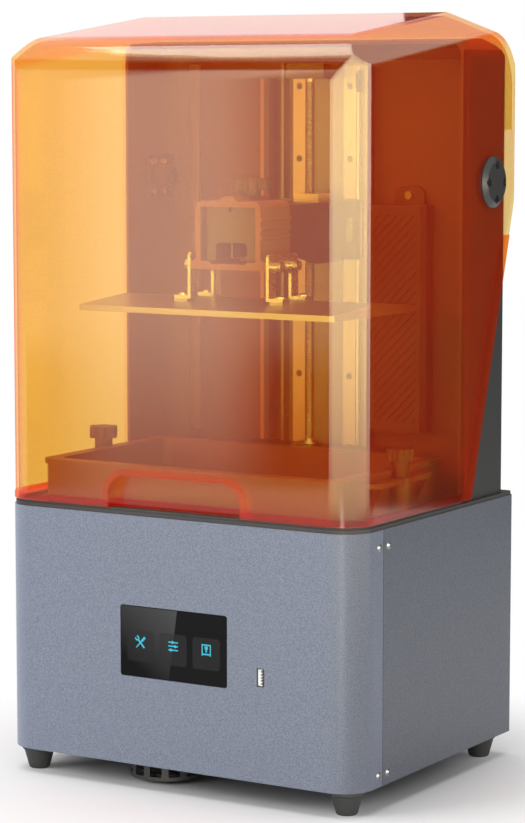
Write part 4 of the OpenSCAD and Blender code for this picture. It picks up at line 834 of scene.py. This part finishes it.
def add_softbox(name, azimuth, height, distance, size, power, aim=(0, 0, 0.3), mirrored=False):
    """Rectangular area lamp, which shows up in reflections where it is mirrored."""
    data = bpy.data.lights.new(name, "AREA")
    data.shape = "RECTANGLE"
    data.size, data.size_y = size
    data.energy = power
    lamp = put(name, data)
    lamp.location = around(azimuth, distance, height)
    direction = Vector(aim) - lamp.location
    lamp.rotation_euler = direction.to_track_quat("-Z", "Y").to_euler()
    lamp.visible_glossy = mirrored


def fade_ends(s, value, ends, soft):
    """1 between the two ends of value, falling to 0 over soft at the first and at the second."""
    return s.product([s.eased(value, end, end + reach)
                      for end, reach in ((ends[0], soft[0]), (ends[1], -soft[1])) if reach])


def card_glow(name, azimuths, heights, strength, soft, soft_z, color):
    """Even light that fades out over soft degrees at the sides and soft_z at the edges."""
    s = Shader(name)
    s.shader = s.plain("ShaderNodeEmission", color)
    s.shader.inputs["Strength"].default_value = strength
    x, y, z = s.place((1, -1, 1))
    turn = s.calc("ARCTAN2", x, y)
    shares = [fade_ends(s, turn, [math.radians(a) for a in azimuths],
                        [math.radians(a) for a in soft]),
              fade_ends(s, z, heights, soft_z)]
    share = s.product([fade for fade in shares if fade is not None])
    if share is None:
        return s.finish()
    return s.finish(s.mix(share, s.add("ShaderNodeBsdfTransparent"), s.shader))


def add_card(name, azimuths, heights, radius, strength, soft=(0, 0), soft_z=(0, 0),
             color=CARD_WHITE):
    """Upright curved card around the object that only shows up in reflections: a wide soft light
    where its strength is above zero, and a dark flag where it is zero or near it."""
    first, last = azimuths
    verts = []
    for i in range(CARD_STEPS + 1):
        azimuth = first + (last - first) * i / CARD_STEPS
        verts += [around(azimuth, radius, height) for height in heights]
    faces = [(2 * i, 2 * i + 2, 2 * i + 3, 2 * i + 1) for i in range(CARD_STEPS)]
    mesh = bpy.data.meshes.new(name)
    mesh.from_pydata(verts, [], faces)
    mesh.materials.append(card_glow(name, azimuths, heights, strength, soft, soft_z, color))
    card = put(name, mesh)
    card.visible_camera = False
    card.visible_diffuse = False
    card.visible_shadow = False


add_camera()
dress_nodes()
add_touch_screen()
add_data_port()
add_lead_screw()
add_tower_ribs()
add_stage()
add_world()
add_softbox("key", azimuth=-42, height=1.35, distance=2.8, size=(1.8, 1.9), power=72)
add_softbox("side_right", azimuth=118, height=1.3, distance=2.8, size=(1.4, 2.0), power=15)
add_softbox("top", azimuth=-90, height=2.9, distance=0.2, size=(2.6, 2.6), power=62)
add_softbox("brow_light", azimuth=-71.5, height=2.62, distance=1.12, size=(0.9, 0.62), power=8.5,
            aim=(0, -0.12, 0.6), mirrored=True)
add_card("strip_card", azimuths=(20, 37), heights=(0.0, 0.16), radius=0.85, strength=11.0,
         soft=(7, 7), soft_z=(0, 0.08))
add_card("corner_card", azimuths=(-21, 121), heights=(-0.2, 0.66), radius=1.7, strength=7.5,
         soft=(0, 3), soft_z=(0.66, 0), color=CARD_CREAM)
add_card("veil_card", azimuths=(-37.0, -25.9), heights=(-0.15, 1.5), radius=1.75, strength=3.0,
         soft=(3.9, 3.5), soft_z=(0.5, 0))
add_card("front_flag", azimuths=(-48, -22), heights=(0.0, 0.25), radius=1.85, strength=0.0,
         soft_z=(0, 0.1))
add_card("brow_flag", azimuths=(-75, -3), heights=(1.5, 2.4), radius=1.75, strength=0.0)
add_card("rear_flag", azimuths=(121, 205), heights=(0.0, 1.6), radius=1.6, strength=0.04,
         soft_z=(0, 0.5))

view = bpy.context.scene.view_settings
view.view_transform = "Standard"
